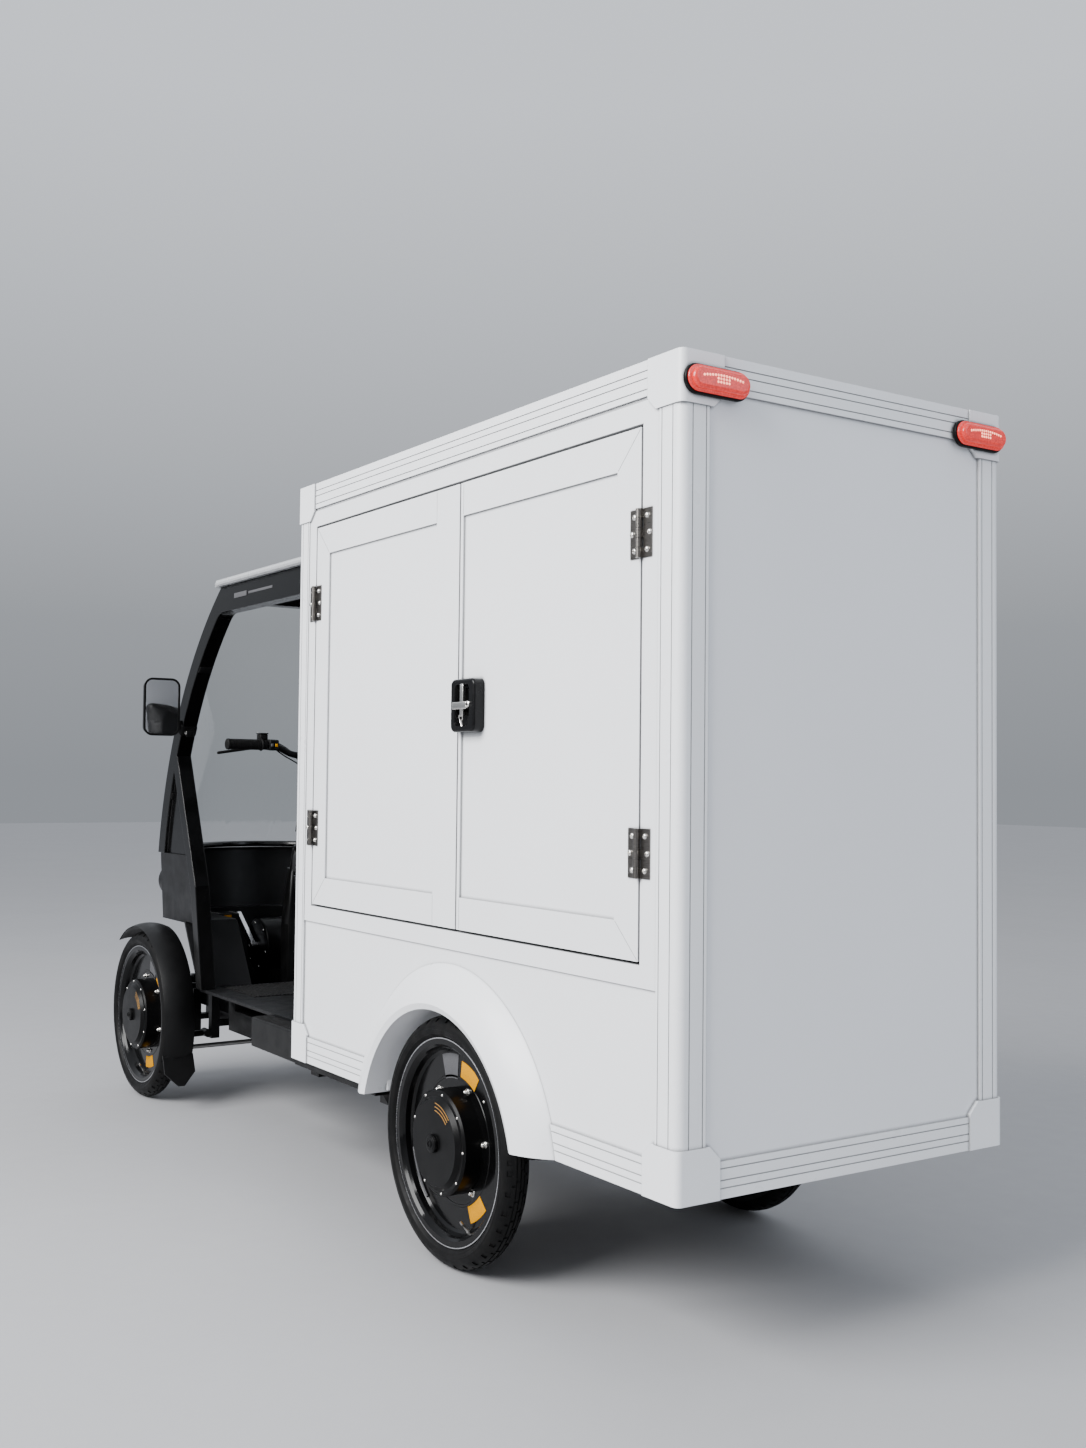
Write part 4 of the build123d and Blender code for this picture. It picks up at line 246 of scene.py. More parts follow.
    def rough(self, source: bpy.types.NodeSocket) -> None:
        """Takes the roughness from a socket."""
        self.join(source, self.shader.inputs["Roughness"])

    def relief(self, source: bpy.types.NodeSocket | None, depth: float,
               rounding: float = 0.0, strength: float = 1.0) -> None:
        """Raises the surface by a pattern, over edges that look rounded.

        Args:
            source: the pattern, or none for rounding alone.
            depth: height of the pattern in metres.
            rounding: radius of the edges in metres.
            strength: share of the pattern's slope that shows.
        """
        normal = None
        if rounding:
            edge = self.add("ShaderNodeBevel", samples=4)
            edge.inputs["Radius"].default_value = rounding
            normal = edge.outputs["Normal"]
        if source is not None:
            bump = self.add("ShaderNodeBump")
            bump.inputs["Strength"].default_value = strength
            bump.inputs["Distance"].default_value = depth
            self.join(source, bump.inputs["Height"])
            if normal is not None:
                self.join(normal, bump.inputs["Normal"])
            normal = bump.outputs["Normal"]
        if normal is not None:
            self.join(normal, self.shader.inputs["Normal"])


@dataclass(frozen=True)
class Finish:
    """A material, made once and shared by every surface that wears it."""

    name: str
    colour: Colour = (0.8, 0.8, 0.8)
    roughness: float = 0.5
    rounding: float = 0.0

    def material(self) -> bpy.types.Material:
        """The finish's material, made at its first use.

        Returns:
            The material.
        """
        name = f"look_{self.name}"
        found = bpy.data.materials.get(name)
        if found is None:
            graph = Graph(name)
            self.grow(graph)
            found = graph.material
        return found

    def grow(self, graph: Graph) -> None:
        """Adds the finish's own nodes to a new material."""
        raise NotImplementedError

    def tinted(self, share: float, lift: float = 0.0) -> Colour:
        """The colour multiplied by a share, then lifted."""
        return tuple(share * channel + lift for channel in self.colour)

    def shades(self, graph: Graph, share: float, scale: float) -> bpy.types.NodeSocket:
        """The colour with a slow drift in its depth.

        Args:
            graph: the material's nodes.
            share: how much darker the drift goes.
            scale: features a metre.

        Returns:
            The colour's socket.
        """
        drift = graph.span(graph.noise(scale, 3.0), 0.35, 0.65, 0.0, 1.0)
        return graph.blend(drift, self.tinted(1 - share), self.colour)


@dataclass(frozen=True)
class Coating(Finish):
    """Paint, powder coat or a smooth moulding: faint orange peel, and road film low down."""

    peel: float = 0.00004
    peel_scale: float = 420.0
    coat: float = 0.0
    film: float = 0.25
    film_top: float = 0.75
    painted_groove_shade: float = 0.0
    shine: float = 0.5

    def grow(self, graph: Graph) -> None:
        """Adds the coating's drift, the film, painted shade in its grooves, and its peel.

        Args:
            graph: the material's nodes.
        """
        low = graph.span(graph.height(), 0.2, self.film_top, self.film, 0.0)
        patches = graph.span(graph.noise(9.0, 4.0, 0.65), 0.38, 0.7, 0.0, 1.0)
        film = graph.times(low, patches)
        skin = graph.blend(film, self.shades(graph, 0.025, 1.3), self.tinted(0.60, 0.10))
        # Painted shade: grooves and seams are darkened in the colour by ambient occlusion.
        if self.painted_groove_shade:
            shade_share = graph.times(graph.crevice(GROOVE_REACH), self.painted_groove_shade)
            skin = graph.blend(shade_share, skin, self.tinted(0.12))
        graph.colour(skin)
        graph.rough(graph.span(graph.noise(14.0, 3.0), 0.3, 0.7,
                               max(self.roughness - 0.05, 0.02), self.roughness + 0.06))
        graph.fix(Coat_Weight=self.coat, Coat_Roughness=0.06, Specular_IOR_Level=self.shine)
        graph.relief(graph.noise(self.peel_scale, 2.0), self.peel, self.rounding, 0.6)


@dataclass(frozen=True)
class Grained(Finish):
    """Moulded plastic with a pebbled grain."""

    grain: float = 900.0
    depth: float = 0.00012
    shine: float = 0.2

    def grow(self, graph: Graph) -> None:
        """Adds the grain and a dry bloom in patches.

        Args:
            graph: the material's nodes.
        """
        pebbles = graph.cells(self.grain)
        bloom = graph.span(graph.noise(7.0, 5.0, 0.6), 0.45, 0.75, 0.0, 0.35)
        graph.colour(graph.blend(bloom, self.shades(graph, 0.12, 4.0), self.tinted(1.8, 0.0008)))
        graph.rough(graph.span(graph.noise(22.0, 3.0), 0.3, 0.7,
                               self.roughness - 0.07, self.roughness + 0.08))
        graph.fix(Specular_IOR_Level=self.shine)
        graph.relief(pebbles, self.depth, self.rounding, 0.5)


@dataclass(frozen=True)
class Metal(Finish):
    """Bare or plated metal with drawn streaks and a faint tarnish."""

    streaks: Place = (40.0, 40.0, 900.0)
    tarnish: float = 0.25

    def grow(self, graph: Graph) -> None:
        """Adds the streaks and the tarnish.

        Args:
            graph: the material's nodes.
        """
        lines = graph.noise(1.0, 4.0, 0.7, graph.stretched(self.streaks))
        stain = graph.span(graph.noise(30.0, 4.0, 0.6), 0.42, 0.72, 0.0, self.tarnish)
        graph.colour(graph.blend(stain, self.colour, self.tinted(0.55)))
        graph.rough(graph.span(lines, 0.3, 0.7, self.roughness - 0.08, self.roughness + 0.12))
        graph.fix(Metallic=1.0)
        graph.relief(lines, 0.00002, self.rounding, 0.35)


@dataclass(frozen=True)
class Rubber(Finish):
    """Tyre, grip or seal rubber, with road dust held in its pores."""

    dust: float = 0.3
    dust_colour: Colour = (0.11, 0.10, 0.09)
    shine: float = 0.05

    def grow(self, graph: Graph) -> None:
        """Adds the dust and the pores.

        Args:
            graph: the material's nodes.
        """
        held = graph.span(graph.noise(26.0, 6.0, 0.7), 0.42, 0.74, 0.0, self.dust)
        graph.colour(graph.blend(held, self.shades(graph, 0.2, 5.0), self.dust_colour))
        graph.rough(graph.span(graph.noise(40.0, 3.0), 0.3, 0.7,
                               self.roughness - 0.1, self.roughness + 0.1))
        graph.fix(Specular_IOR_Level=self.shine)
        graph.relief(graph.noise(1100.0, 3.0, 0.6), 0.00012, self.rounding, 0.4)


@dataclass(frozen=True)
class Glazing(Finish):
    """Clear sheet or lens, with thin smears that dull its shine in patches."""

    smears: float = 0.05
    opacity: float = 0.0

    def grow(self, graph: Graph) -> None:
        """Adds the clear body, refracting or only thinned by its opacity, and the smears.

        Args:
            graph: the material's nodes.
        """
        smear = graph.span(graph.noise(5.0, 5.0, 0.65, graph.stretched((1.0, 1.0, 0.35))),
                           0.45, 0.75, self.roughness, self.roughness + self.smears)
        graph.rough(smear)
        if self.opacity:
            graph.fix(Alpha=self.opacity)
        else:
            graph.fix(Transmission_Weight=1.0, IOR=1.46)
        graph.colour(self.shades(graph, 0.02, 2.0))


@dataclass(frozen=True)
class LitLens(Finish):
    """Coloured lens glowing from lamps behind it, brighter round each lamp."""

    glow: Colour = (1.0, 0.05, 0.03)
    strength: float = 1.0

    def grow(self, graph: Graph) -> None:
        """Adds the glow and the prisms pressed in the lens.

        Args:
            graph: the material's nodes.
        """
        prisms = graph.cells(240.0)
        light = graph.blend(graph.span(prisms, 0.1, 0.6, 1.0, 0.0),
                            tuple(0.55 * channel for channel in self.glow), self.glow)
        graph.join(light, graph.shader.inputs["Emission Color"])
        graph.fix(Emission_Strength=self.strength, Coat_Weight=0.25, Coat_Roughness=0.05)
        graph.colour(self.shades(graph, 0.1, 40.0))
        graph.rough(graph.span(prisms, 0.0, 0.6, self.roughness, self.roughness + 0.1))
        graph.relief(prisms, 0.0006, 0.0, 0.5)


@dataclass(frozen=True)
class Prisms(Finish):
    """Reflective film with its fine honeycomb."""

    def grow(self, graph: Graph) -> None:
        """Adds the honeycomb's bright cells and dull borders.

        Args:
            graph: the material's nodes.
        """
        borders = graph.cells(260.0, "DISTANCE_TO_EDGE")
        share = graph.span(borders, 0.02, 0.12, 0.0, 1.0)
        graph.colour(graph.blend(share, self.tinted(0.78), self.colour))
        graph.rough(graph.span(share, 0.0, 1.0, self.roughness + 0.2, self.roughness))
        graph.fix(Specular_IOR_Level=0.02)
        graph.relief(share, 0.0001, 0.0, 0.4)


@dataclass(frozen=True)
class Cover(Finish):
    """Seat cover: coated cloth with a leather grain and a fine weave under it."""

    def grow(self, graph: Graph) -> None:
        """Adds the grain, the weave and worn, shinier patches.

        Args:
            graph: the material's nodes.
        """
        creases = graph.cells(420.0, "DISTANCE_TO_EDGE")
        weave = graph.noise(1500.0, 1.0)
        worn = graph.span(graph.noise(6.0, 4.0, 0.6), 0.4, 0.7, 0.0, 1.0)
        graph.colour(graph.blend(worn, self.colour, self.tinted(1.8, 0.001)))
        graph.rough(graph.span(worn, 0.0, 1.0, self.roughness + 0.1, self.roughness - 0.06))
        graph.fix(Sheen_Weight=0.02, Sheen_Roughness=0.4, Specular_IOR_Level=0.25)
        pattern = graph.times(graph.span(creases, 0.0, 0.14, 0.0, 1.0),
                              graph.span(weave, 0.3, 0.7, 0.85, 1.0))
        graph.relief(pattern, 0.00025, 0.0, 0.55)


@dataclass(frozen=True)
class Plywood(Finish):
    """Film-faced floor board with the wire-mesh print that keeps loads from sliding."""

    def grow(self, graph: Graph) -> None:
        """Adds the mesh print and scuffs.

        Args:
            graph: the material's nodes.
        """
        mesh = graph.add("ShaderNodeTexBrick", offset=0.5)
        mesh.inputs["Scale"].default_value = 120.0
        mesh.inputs["Mortar Size"].default_value = 0.03
        graph.join(graph.stretched((1.0, 1.0, 1.0), (0.0, 0.0, 45.0)), mesh.inputs["Vector"])
        print_line = mesh.outputs["Fac"]
        scuffs = graph.span(graph.noise(3.0, 6.0, 0.7, graph.stretched((0.3, 3.0, 1.0))),
                            0.5, 0.75, 0.0, 0.4)
        graph.colour(graph.blend(scuffs, self.shades(graph, 0.2, 3.0), self.tinted(2.2)))
        graph.rough(graph.span(print_line, 0.0, 1.0, self.roughness, self.roughness + 0.15))
        graph.relief(print_line, 0.0004, self.rounding, 0.5)


@dataclass(frozen=True)
class Silvered(Finish):
    """Mirror glass with a faint haze."""

    def grow(self, graph: Graph) -> None:
        """Adds the haze.

        Args:
            graph: the material's nodes.
        """
        graph.rough(graph.span(graph.noise(18.0, 4.0), 0.45, 0.75, 0.01, 0.05))
        graph.colour(self.shades(graph, 0.03, 6.0))
        graph.fix(Metallic=1.0)


class Look(Enum):
    """Every finish on the vehicle and in its studio."""

    # The white finishes take painted shade in their grooves and seams.
    WHITE_PANEL = Coating("white_panel", (0.79, 0.80, 0.83), 0.36, 0.0, film=0.05, painted_groove_shade=0.75)
    WHITE_MOULDING = Coating("white_moulding", (0.83, 0.84, 0.86), 0.32, 0.0010, film=0.06,
                             painted_groove_shade=0.75)
    DOOR_WHITE = Coating("door_white", (0.81, 0.82, 0.84), 0.34, 0.0006, film=0.04, painted_groove_shade=0.75)
    # Seal rubber, black also as painted shade inside the door gaps.
    SEAL_AND_GAP_SHADE = Rubber("seal_and_gap_shade", (0.004, 0.004, 0.0045), 0.7, dust=0.1)
    ROOF_SILVER = Coating("roof_silver", (0.42, 0.43, 0.44), 0.26, 0.001, coat=0.4)
    FRAME_BLACK = Coating("frame_black", (0.003, 0.003, 0.0031), 0.38, 0.0015, peel=0.00007,
                          film=0.12, shine=0.16)
    CAB_BLACK = Coating("cab_black", (0.0018, 0.0018, 0.0019), 0.14, 0.005, film=0.03,
                        shine=0.30)
    RIM_BLACK = Coating("rim_black", (0.0012, 0.0012, 0.0013), 0.13, 0.0008, film=0.02,
                        shine=0.20)
    MOTOR_BLACK = Coating("motor_black", (0.0018, 0.0018, 0.0019), 0.32, 0.0008, film=0.02,
                          shine=0.11)
    BATTERY_BLACK = Coating("battery_black", (0.004, 0.004, 0.0041), 0.42, 0.002, peel=0.0001,
                            film=0.10, shine=0.16)
    FENDER_BLACK = Grained("fender_black", (0.004, 0.004, 0.0042), 0.42, 0.001, shine=0.18)
    TRIM_PLASTIC = Grained("trim_plastic", (0.0035, 0.0035, 0.0036), 0.44, 0.001, shine=0.14)
    WELL_PLASTIC = Grained("well_plastic", (0.005, 0.005, 0.0055), 0.36, 0.002, shine=0.22)
    LATCH_PLASTIC = Grained("latch_plastic", (0.003, 0.003, 0.0033), 0.28, 0.0012,
                            depth=0.00005, shine=0.18)
    HINGE_NICKEL = Metal("hinge_nickel", (0.155, 0.145, 0.135), 0.30, 0.0006)
    STEEL = Metal("fitting_steel", (0.42, 0.41, 0.39), 0.28, 0.0005)
    NUT_STEEL = Metal("nut_steel", (0.80, 0.78, 0.74), 0.18, 0.0003)
    ZINC = Metal("rod_zinc", (0.36, 0.36, 0.355), 0.36, 0.0005, streaks=(60.0, 60.0, 60.0))
    ALLOY = Metal("crank_alloy", (0.72, 0.72, 0.73), 0.28, 0.0012, streaks=(300.0, 20.0, 300.0))
    # Painted highlight: a bright metal ring along the rim's flange edge.
    RIM_EDGE = Metal("rim_edge", (0.62, 0.62, 0.63), 0.24, 0.0)
    REFLECTOR = Metal("lamp_bowl", (0.90, 0.90, 0.90), 0.24, 0.0, tarnish=0.05)
    GOLD_LINE = Metal("gold_line", (0.95, 0.50, 0.12), 0.34, 0.0)
    TYRE = Rubber("tyre_rubber", (0.0028, 0.0028, 0.003), 0.52, dust=0.20,
                  dust_colour=(0.022, 0.020, 0.018), shine=0.13)
    GRIP = Rubber("grip_rubber", (0.003, 0.003, 0.0031), 0.60, dust=0.10,
                  dust_colour=(0.016, 0.015, 0.014), shine=0.14)
    MAT = Rubber("mat_rubber", (0.004, 0.004, 0.0042), 0.62, dust=0.30,
                 dust_colour=(0.024, 0.022, 0.020), shine=0.15)
    SCREEN = Glazing("screen_clear", (0.97, 0.985, 0.98), 0.015, smears=0.04)
    HEADLAMP = Glazing("headlamp_clear", (0.85, 0.87, 0.88), 0.03, smears=0.03, opacity=0.16)
    RED_LENS = LitLens("red_lens", (0.42, 0.015, 0.015), 0.16, glow=(1.0, 0.05, 0.035),
                       strength=0.85)
    LED = LitLens("led_row", (1.0, 0.3, 0.2), 0.3, glow=(1.0, 0.34, 0.24), strength=4.0)
    DISPLAY = Coating("display_glass", (0.003, 0.004, 0.006), 0.08, 0.0, coat=0.6, film=0.0)
    AMBER = Prisms("amber_film", (0.58, 0.25, 0.0), 0.55)
    GREY_FILM = Prisms("grey_film", (0.09, 0.09, 0.095), 0.32)
    COVER = Cover("seat_cover", (0.006, 0.006, 0.0065), 0.46)
    BOARD = Plywood("floor_board", (0.075, 0.045, 0.028), 0.42, 0.001)
    MIRROR = Silvered("mirror_face", (0.86, 0.87, 0.88), 0.02)
    STUDIO_FLOOR = Coating("studio_floor", (0.34, 0.34, 0.35), 0.75, 0.0, film=0.0)

    def material(self) -> bpy.types.Material:
        """The look's material."""
        return self.value.material()


CORNERS = ("rear_left", "rear_right", "front_left", "front_right")
NODE_LOOKS: dict[str, Look] = {
    "box_posts": Look.WHITE_MOULDING, "corner_caps": Look.WHITE_MOULDING,
    "box_rails": Look.WHITE_MOULDING, "wheel_arches": Look.WHITE_MOULDING,
    "box_rear_wall": Look.WHITE_PANEL, "box_front_wall": Look.WHITE_PANEL,
    "box_side_walls": Look.DOOR_WHITE, "box_roof": Look.WHITE_PANEL, "box_floor": Look.BOARD,
    "hinge_plates": Look.HINGE_NICKEL, "rear_lamp_lenses": Look.RED_LENS,
    "rear_lamp_bases": Look.TRIM_PLASTIC, "chassis_frame": Look.FRAME_BLACK,
    "battery_boxes": Look.BATTERY_BLACK, "suspension_arms": Look.FRAME_BLACK,
    "rear_struts": Look.NUT_STEEL, "track_rod": Look.ZINC,
    "knuckle_left": Look.FRAME_BLACK, "knuckle_right": Look.FRAME_BLACK,
    "fender_left": Look.FENDER_BLACK, "fender_right": Look.FENDER_BLACK,
    "cab_floor": Look.WELL_PLASTIC, "nose_cowl": Look.WELL_PLASTIC,
    "headlamp_lenses": Look.HEADLAMP, "cab_frame": Look.CAB_BLACK, "cab_roof": Look.ROOF_SILVER,
    "windscreen": Look.SCREEN, "mirror_bodies": Look.TRIM_PLASTIC, "mirror_glasses": Look.MIRROR,
    "handlebar": Look.FRAME_BLACK, "bar_controls": Look.GRIP, "pedal_drive": Look.MOTOR_BLACK,
    "crankset": Look.ALLOY, "pedal_left": Look.TRIM_PLASTIC, "pedal_right": Look.TRIM_PLASTIC,
    "seat_cushion": Look.COVER, "seat_back": Look.COVER,
}
for _side in ("left", "right"):
    for _leaf in ("rear", "front"):
        NODE_LOOKS[f"{_side}_{_leaf}_leaf"] = Look.DOOR_WHITE
        NODE_LOOKS[f"{_side}_{_leaf}_leaf_fittings"] = Look.HINGE_NICKEL
    NODE_LOOKS[f"{_side}_latch_housing"] = Look.LATCH_PLASTIC
for _corner in CORNERS:
    NODE_LOOKS[f"rim_{_corner}"] = Look.RIM_BLACK
    NODE_LOOKS[f"motor_{_corner}"] = Look.MOTOR_BLACK
    NODE_LOOKS[f"tyre_{_corner}"] = Look.TYRE


# ---------------------------------------------------------------- hand tools

def clear_selection() -> None:
    """Leaves edit mode and deselects everything."""
    if bpy.context.object is not None and bpy.context.object.mode != "OBJECT":
        bpy.ops.object.mode_set(mode="OBJECT")
    bpy.ops.object.select_all(action="DESELECT")


def add_object(name: str, data: bpy.types.ID | None) -> bpy.types.Object:
    """Adds an object with its data to the scene.

    Args:
        name: the object's name.
        data: its mesh, curve, lamp or camera.

    Returns:
        The object.
    """
    obj = bpy.data.objects.new(name, data)
    bpy.context.scene.collection.objects.link(obj)
    return obj


def upright(way: Vector) -> Matrix:
    """The turn that takes the Z axis to a direction."""
    return Vector((0, 0, 1)).rotation_difference(way).to_matrix().to_4x4()


def rotation(degrees: float, axis: str) -> Matrix:
    """A turn about one of the axes."""
    return Matrix.Rotation(math.radians(degrees), 4, axis)


def mirrored(side: float) -> Matrix:
    """Nothing for the left side, 1, and a mirroring across the middle for the right one, -1."""
    return Matrix.Scale(side, 4, (0, 1, 0))


class Piece:
    """One mesh on the bench, shaped with the modelling operators and then fitted to a body."""

    def __init__(self, obj: bpy.types.Object, name: str) -> None:
        """Takes an object that was just added, names it and puts its place in its mesh.

        Args:
            obj: the object.
            name: its name.
        """
        self.obj = obj
        obj.name = obj.data.name = name
        bpy.ops.object.transform_apply(location=True, rotation=True, scale=True)

    @classmethod
    def line(cls, name: str, places: Sequence[Place], closed: bool = False) -> "Piece":
        """Draws a chain of edges by extruding one point from place to place.

        Args:
            name: the piece's name.
            places: the chain's points.
            closed: whether an edge joins the last point to the first.

        Returns:
            The piece, in edit mode with its whole chain selected.
        """
        clear_selection()
        bpy.ops.mesh.primitive_plane_add(size=0.01, location=places[0])
        piece = cls(bpy.context.object, name)
        piece.edit_all()
        bpy.ops.mesh.merge(type="CENTER")
        for before, after in zip(places, places[1:]):
            step = Vector(after) - Vector(before)
            bpy.ops.mesh.extrude_region_move(TRANSFORM_OT_translate={"value": step})
        if closed:
            piece.pick_points(lambda co: min((co - Vector(places[0])).length,
                                             (co - Vector(places[-1])).length) < 1e-7)
            bpy.ops.mesh.edge_face_add()
        bpy.ops.mesh.select_all(action="SELECT")
        return piece

    @classmethod
    def tube(cls, name: str, places: Sequence[Place], radius: float, sides: int = 12) -> "Piece":
        """Sweeps a round section along a smooth line through places.

        Args:
            name: the piece's name.
            places: points of the line.
            radius: the section's radius.
            sides: the section's sides.

        Returns:
            The piece, in object mode.
        """
        clear_selection()
        data = bpy.data.curves.new(name, "CURVE")
        data.dimensions = "3D"
        data.bevel_depth = radius
        data.bevel_resolution = max(sides // 4 - 1, 1)
        data.resolution_u = 8
        data.use_fill_caps = True
        line = data.splines.new("NURBS")
        line.points.add(len(places) - 1)
        for point, place in zip(line.points, places):
            point.co = (*place, 1.0)
        line.order_u = 3
        line.use_endpoint_u = True
        obj = add_object(name, data)
        bpy.context.view_layer.objects.active = obj
        obj.select_set(True)
        bpy.ops.object.convert(target="MESH")
        return cls(bpy.context.object, name)

    @classmethod
    def of_node(cls, node: str, name: str, gap: float) -> "Piece":
        """Copies a node's solid, with the points that lie together merged.

        Args:
            node: the node.
            name: the piece's name.
            gap: how near two points are merged.

        Returns:
            The piece, in edit mode with everything selected.
        """
        clear_selection()
        obj = add_object(name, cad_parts[node].data.copy())
        obj.select_set(True)
        bpy.context.view_layer.objects.active = obj
        piece = cls(obj, name)
        piece.edit_all()
        bpy.ops.mesh.remove_doubles(threshold=gap)
        return piece

    def hold(self) -> None:
        """Makes the piece the one object that is selected and active."""
        clear_selection()
        self.obj.select_set(True)
        bpy.context.view_layer.objects.active = self.obj

    def edit(self, mode: str) -> None:
        """Goes into edit mode with vertices, edges or faces to pick.

        Args:
            mode: VERT, EDGE or FACE.
        """
        if bpy.context.object is not self.obj or self.obj.mode != "EDIT":
            self.hold()
            bpy.ops.object.mode_set(mode="EDIT")
        bpy.ops.mesh.select_mode(type=mode)

    def edit_all(self) -> None:
        """Goes into edit mode with every vertex selected."""
        self.edit("VERT")
        bpy.ops.mesh.select_all(action="SELECT")

    def pick_points(self, test: Callable[[Vector], bool]) -> "Piece":
        """Selects the vertices that pass a test on their place.

        Args:
            test: takes a vertex's place.

        Returns:
            The piece.
        """
        self.edit("VERT")
        mesh = bmesh.from_edit_mesh(self.obj.data)
        for vert in mesh.verts:
            vert.select = test(vert.co)
        mesh.select_flush_mode()
        bmesh.update_edit_mesh(self.obj.data)
        return self

    def pick(self, test: Callable[[Vector, Vector], bool]) -> "Piece":
        """Selects the faces that pass a test on their middle and normal.

        Args:
            test: takes a face's middle and its normal.

        Returns:
            The piece.
        """
        self.edit("FACE")
        mesh = bmesh.from_edit_mesh(self.obj.data)
        for face in mesh.faces:
            face.select = False
        for face in mesh.faces:
            if test(face.calc_center_median(), face.normal):
                face.select = True
        bmesh.update_edit_mesh(self.obj.data)
        return self

    def spin(self, axis: Place, steps: int) -> "Piece":
        """Turns the selection once round an axis through the origin, and closes it.

        Args:
            axis: the axis's direction.
            steps: how many faces the turn makes.

        Returns:
            The piece.
        """
        bpy.ops.mesh.spin(steps=steps, angle=math.radians(360.0), center=(0, 0, 0), axis=axis)
        bpy.ops.mesh.select_all(action="SELECT")
        bpy.ops.mesh.remove_doubles(threshold=MERGE_GAP)
        return self.face_out()

    def face_out(self) -> "Piece":
        """Turns every face of the piece outwards.

        Returns:
            The piece.
        """
        bpy.ops.mesh.select_all(action="SELECT")
        bpy.ops.mesh.normals_make_consistent(inside=False)
        return self

    def extrude(self, step: Place) -> "Piece":
        """Pulls the selected faces by a step."""
        bpy.ops.mesh.extrude_region_move(TRANSFORM_OT_translate={"value": step})
        return self

    def sink(self, depth: float) -> "Piece":
        """Extrudes the selected faces along their normals; below zero goes inwards."""
        bpy.ops.mesh.extrude_region_shrink_fatten(TRANSFORM_OT_shrink_fatten={"value": depth})
        return self

    def inset(self, width: float, depth: float = 0.0) -> "Piece":
        """Insets the selected faces, and moves the inner ones along their normals."""
        bpy.ops.mesh.inset(thickness=width, depth=depth, use_even_offset=True)
        return self

    def resize(self, factors: Place, centre: Place) -> "Piece":
        """Scales the selected points about a centre, worked out in code.

        Args:
            factors: scale along the three axes.
            centre: the point that stays.

        Returns:
            The piece.
        """
        mesh = bmesh.from_edit_mesh(self.obj.data)
        middle = Vector(centre)
        for vert in mesh.verts:
            if vert.select:
                offset = vert.co - middle
                vert.co = middle + Vector(a * b for a, b in zip(offset, factors))
        bmesh.update_edit_mesh(self.obj.data)
        return self

    def modify(self, kind: str, **settings: object) -> "Piece":
        """Applies a modifier to the piece.

        Args:
            kind: the modifier's type.
            settings: its properties by name.

        Returns:
            The piece.
        """
        self.hold()
        bpy.ops.object.modifier_add(type=kind)
        modifier = self.obj.modifiers[-1]
        for key, value in settings.items():
            setattr(modifier, key, value)
        bpy.ops.object.modifier_apply(modifier=modifier.name)
        return self

    def soften(self, width: float, segments: int = 2, angle: float = 30.0) -> "Piece":
        """Rounds the edges sharper than an angle, with a bevel that is applied.

        Args:
            width: the bevel's width.
            segments: its steps.
            angle: edges sharper than this are rounded, in degrees.

        Returns:
            The piece.
        """
        return self.modify("BEVEL", width=width, segments=segments, limit_method="ANGLE",
                           angle_limit=math.radians(angle))

    def smooth(self, angle: float = 35.0) -> "Piece":
        """Shades the piece smooth up to an angle.

        Args:
            angle: the sharpest angle that still looks smooth, in degrees.

        Returns:
            The piece.
        """
        self.hold()
        bpy.ops.object.shade_smooth_by_angle(angle=math.radians(angle))
        return self

    def wear(self, look: Look) -> "Piece":
        """Gives the whole piece one look.

        Args:
            look: the look.

        Returns:
            The piece.
        """
        self.obj.data.materials.clear()
        self.obj.data.materials.append(look.material())
        return self

    def copy(self, name: str, matrix: Matrix) -> "Piece":
        """A copy with its own mesh, moved by a matrix.

        Args:
            name: the copy's name.
            matrix: where it goes; a mirroring one turns the faces right again.

        Returns:
            The copy.
        """
        clear_selection()
        mesh = self.obj.data.copy()
        mesh.transform(matrix)
        if matrix.determinant() < 0:
            mesh.flip_normals()
        mesh.name = name
        twin = object.__new__(Piece)
        twin.obj = add_object(name, mesh)
        return twin

    def moved(self, matrix: Matrix) -> "Piece":
        """The piece moved by a matrix, under its own name.

        Args:
            matrix: where it goes.

        Returns:
            The moved piece, in place of this one.
        """
        name = self.obj.name
        twin = self.copy(f"{name}_moved", matrix)
        self.drop()
        twin.obj.name = twin.obj.data.name = name
        return twin

    def fit(self, body: str, slot: str | None = None, instead_of: Sequence[str] = ()) -> "Piece":
        """Fixes the piece to a body.

        Args:
            body: the body that it rides on.
            slot: the record's material slot, if it takes one; not used.
            instead_of: nodes that it stands for.

        Returns:
            The piece.
        """
        clear_selection()
        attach(self.obj, body)
        if instead_of:
            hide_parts(*instead_of)
        log.info("%s: %d faces on %s", self.obj.name, len(self.obj.data.polygons), body)
        return self

    def drop(self) -> None:
        """Takes a pattern piece off the bench."""
        bpy.data.objects.remove(self.obj)


def merged(name: str, parts: Sequence[Piece]) -> Piece:
    """Joins finished pieces into one.

    Args:
        name: the new piece's name.
        parts: the pieces, which are used up.

    Returns:
        The joined piece.
    """
    clear_selection()
    for part in parts:
        part.obj.select_set(True)
    bpy.context.view_layer.objects.active = parts[0].obj
    if len(parts) > 1:
        bpy.ops.object.join()
    parts[0].obj.name = parts[0].obj.data.name = name
    return parts[0]


def scattered(name: str, pattern: Piece, places: Sequence[tuple[Place, Place]],
              keep: bool = False) -> Piece:
    """Copies a pattern that stands on the origin along +Z to several places, as one piece.

    Args:
        name: the new piece's name.
        pattern: the pattern.
        places: where each copy stands, and which way it points.
        keep: whether the pattern is needed again.

    Returns:
        The joined copies.
    """
    copies = []
    for number, (place, way) in enumerate(places):
        matrix = Matrix.Translation(place) @ upright(Vector(way))
        copies.append(pattern.copy(f"{name}_{number}", matrix))
    piece = merged(name, copies)
    if not keep:
        pattern.drop()
    return piece


